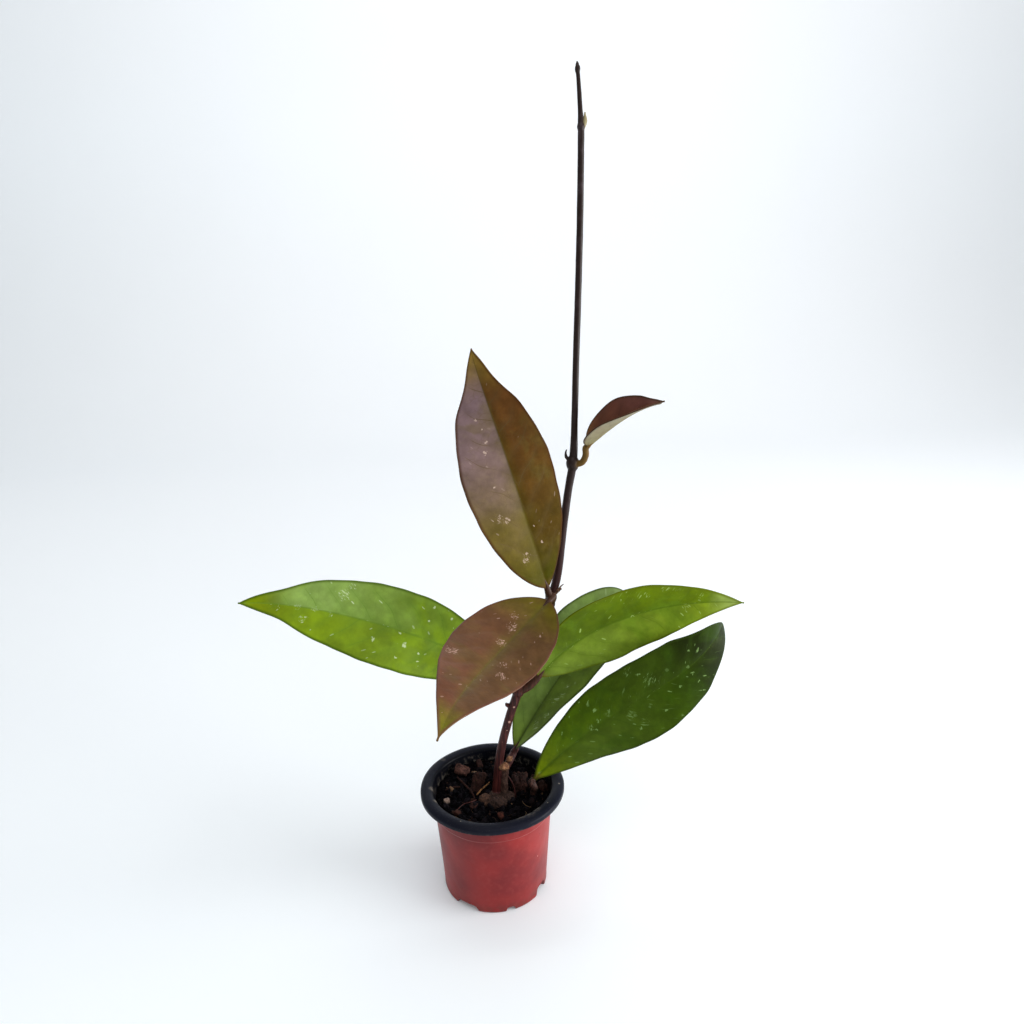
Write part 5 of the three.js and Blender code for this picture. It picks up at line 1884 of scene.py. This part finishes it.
class HOYA_OT_leaves(bpy.types.Operator):
    """Builds the seven blades"""

    bl_idname = "hoya.leaves"
    bl_label = "Leaves"

    def execute(self, context):
        settings = context.scene.hoya_leaves
        for name, look in LEAF_LOOKS.items():
            piece = blade_piece(name, settings)
            piece.data.materials.append(leaf_finish(name, settings))
            settle(piece, look["slot"], name)
        return {"FINISHED"}


# The sweep in metres: front edge, start of its bend, radius of the bend, height and half width
SWEEP = (-2.2, 1.3, 0.8, 3.2, 3.0)


def backdrop():
    """A floor that sweeps up into a backdrop behind the plant."""
    near, far, bend, top, half = SWEEP
    profile = [(near, 0.0), (0.0, 0.0), (far - 0.6, 0.0)]
    for k in range(13):
        turn = math.radians(90 * k / 12)
        profile.append((far + bend * math.sin(turn), bend * (1 - math.cos(turn))))
    profile.append((far + bend, top))
    points = [(x, y, z) for y, z in profile for x in (-half, half)]
    faces = [(2 * k, 2 * k + 1, 2 * k + 3, 2 * k + 2) for k in range(len(profile) - 1)]
    mesh = bpy.data.meshes.new("studio_sweep")
    mesh.from_pydata(points, [], faces)
    mesh.update()
    mesh.shade_smooth()
    return add_object("studio_sweep", mesh)


def add_camera():
    """The camera at the reference view's angle."""
    yaw, pitch, roll = (math.radians(a) for a in (CAMERA_YAW, CAMERA_PITCH, CAMERA_ROLL))
    level_reach = math.cos(pitch)
    forward = Vector((math.sin(yaw) * level_reach, math.cos(yaw) * level_reach, -math.sin(pitch)))
    level = Vector((math.cos(yaw), -math.sin(yaw), 0))
    upright = level.cross(forward)
    right = level * math.cos(roll) + upright * math.sin(roll)
    up = upright * math.cos(roll) - level * math.sin(roll)
    data = bpy.data.cameras.new("reference_view")
    data.sensor_fit = "HORIZONTAL"
    data.sensor_width = SENSOR_WIDTH
    data.lens = SENSOR_WIDTH * FOCAL_PIXELS / FRAME_PIXELS
    data.clip_start = 0.02
    camera = add_object("reference_view", data)
    turn = Matrix((right, up, -forward)).transposed().to_4x4()
    camera.matrix_world = Matrix.Translation(Vector(CAMERA_AT) * MM) @ turn
    bpy.context.scene.camera = camera


# Soft lights in metres, by the setting that holds their power
SOFTBOXES = {
    "side": {
        "place": (1.2, -0.3, 0.3), "aim": (0.0, 0.0, 0.15), "size": (0.9, 0.5),
        "tint": (1.0, 0.995, 0.99),
    },
    "top": {
        "place": (0.15, -0.8, 1.6), "aim": (0.0, 0.0, 0.15), "size": (1.6, 1.6),
        "tint": (1.0, 0.995, 0.99),
    },
    "backdrop": {
        "place": (0.4, 0.5, 1.9), "aim": (0.4, 2.1, 0.7), "size": (2.4, 0.8),
        "tint": (1.0, 0.87, 0.83),
    },
}


def add_softbox(name, place, aim, size, power, tint):
    """A soft rectangular light that looks at a point."""
    data = bpy.data.lights.new(name, "AREA")
    data.shape = "RECTANGLE"
    data.size, data.size_y = size
    data.energy = power
    data.color = tint
    light = add_object(name, data)
    away = Vector(place) - Vector(aim)
    light.location = place
    light.rotation_mode = "QUATERNION"
    light.rotation_quaternion = away.to_track_quat("Z", "Y")


class HOYA_OT_stage(bpy.types.Operator):
    """Sets the pale floor, the soft lights and the camera"""

    bl_idname = "hoya.stage"
    bl_label = "Stage"

    def execute(self, context):
        settings = context.scene.hoya_stage
        finish = Finish("studio_paper")
        grain = finish.noise(finish.place(), 0.004, 2)
        base = finish.blend(finish.ramp(grain, 0.3, 0.7, 0, 0.08), settings.floor, screen(236, 240, 244))
        sweep = backdrop()
        sweep.data.materials.append(finish.done(
            Base_Color=base, Roughness=0.7, Specular_IOR_Level=0.2,
            Emission_Color=base, Emission_Strength=settings.glow,
        ))
        world = bpy.data.worlds.new("studio_room")
        world.use_nodes = True
        room = world.node_tree.nodes["Background"]
        room.inputs["Color"].default_value = (0.95, 0.985, 1.0, 1)
        room.inputs["Strength"].default_value = settings.sky
        context.scene.world = world
        for key, light in SOFTBOXES.items():
            add_softbox(f"{key}_light", power=getattr(settings, key), **light)
        add_camera()
        context.scene.view_settings.view_transform = "Standard"
        return {"FINISHED"}


OPERATORS = (
    HOYA_OT_stage, HOYA_OT_pot, HOYA_OT_potting_mix, HOYA_OT_bark, HOYA_OT_vine, HOYA_OT_leaves,
)


class HOYA_PT_panel(bpy.types.Panel):
    """Lists the plant's pieces, each with the button that builds it"""

    bl_idname = "HOYA_PT_panel"
    bl_label = "Potted Hoya"
    bl_space_type = "VIEW_3D"
    bl_region_type = "UI"
    bl_category = "Potted Hoya"

    def draw(self, context):
        for operator in OPERATORS:
            self.layout.operator(operator.bl_idname)
        for name in SETTINGS:
            box = self.layout.box()
            group = getattr(context.scene, name)
            for key in group.__annotations__:
                box.prop(group, key)


SETTINGS = {
    "hoya_pot": HoyaPotSettings,
    "hoya_mix": HoyaMixSettings,
    "hoya_vine": HoyaVineSettings,
    "hoya_leaves": HoyaLeafSettings,
    "hoya_bark": HoyaBarkSettings,
    "hoya_stage": HoyaStageSettings,
}


def register():
    """Registers the settings, the operators and the panel."""
    for name, group in SETTINGS.items():
        bpy.utils.register_class(group)
        setattr(bpy.types.Scene, name, PointerProperty(type=group))
    for made in (*OPERATORS, HOYA_PT_panel):
        bpy.utils.register_class(made)


def unregister():
    """Takes the panel, the operators and the settings out again."""
    for made in reversed((*OPERATORS, HOYA_PT_panel)):
        bpy.utils.unregister_class(made)
    for name, group in SETTINGS.items():
        delattr(bpy.types.Scene, name)
        bpy.utils.unregister_class(group)


def main():
    """Builds the stage and every piece."""
    register()
    bpy.ops.hoya.stage()
    bpy.ops.hoya.pot()
    bpy.ops.hoya.potting_mix()
    bpy.ops.hoya.bark()
    bpy.ops.hoya.vine()
    bpy.ops.hoya.leaves()


if __name__ == "__main__":
    main()
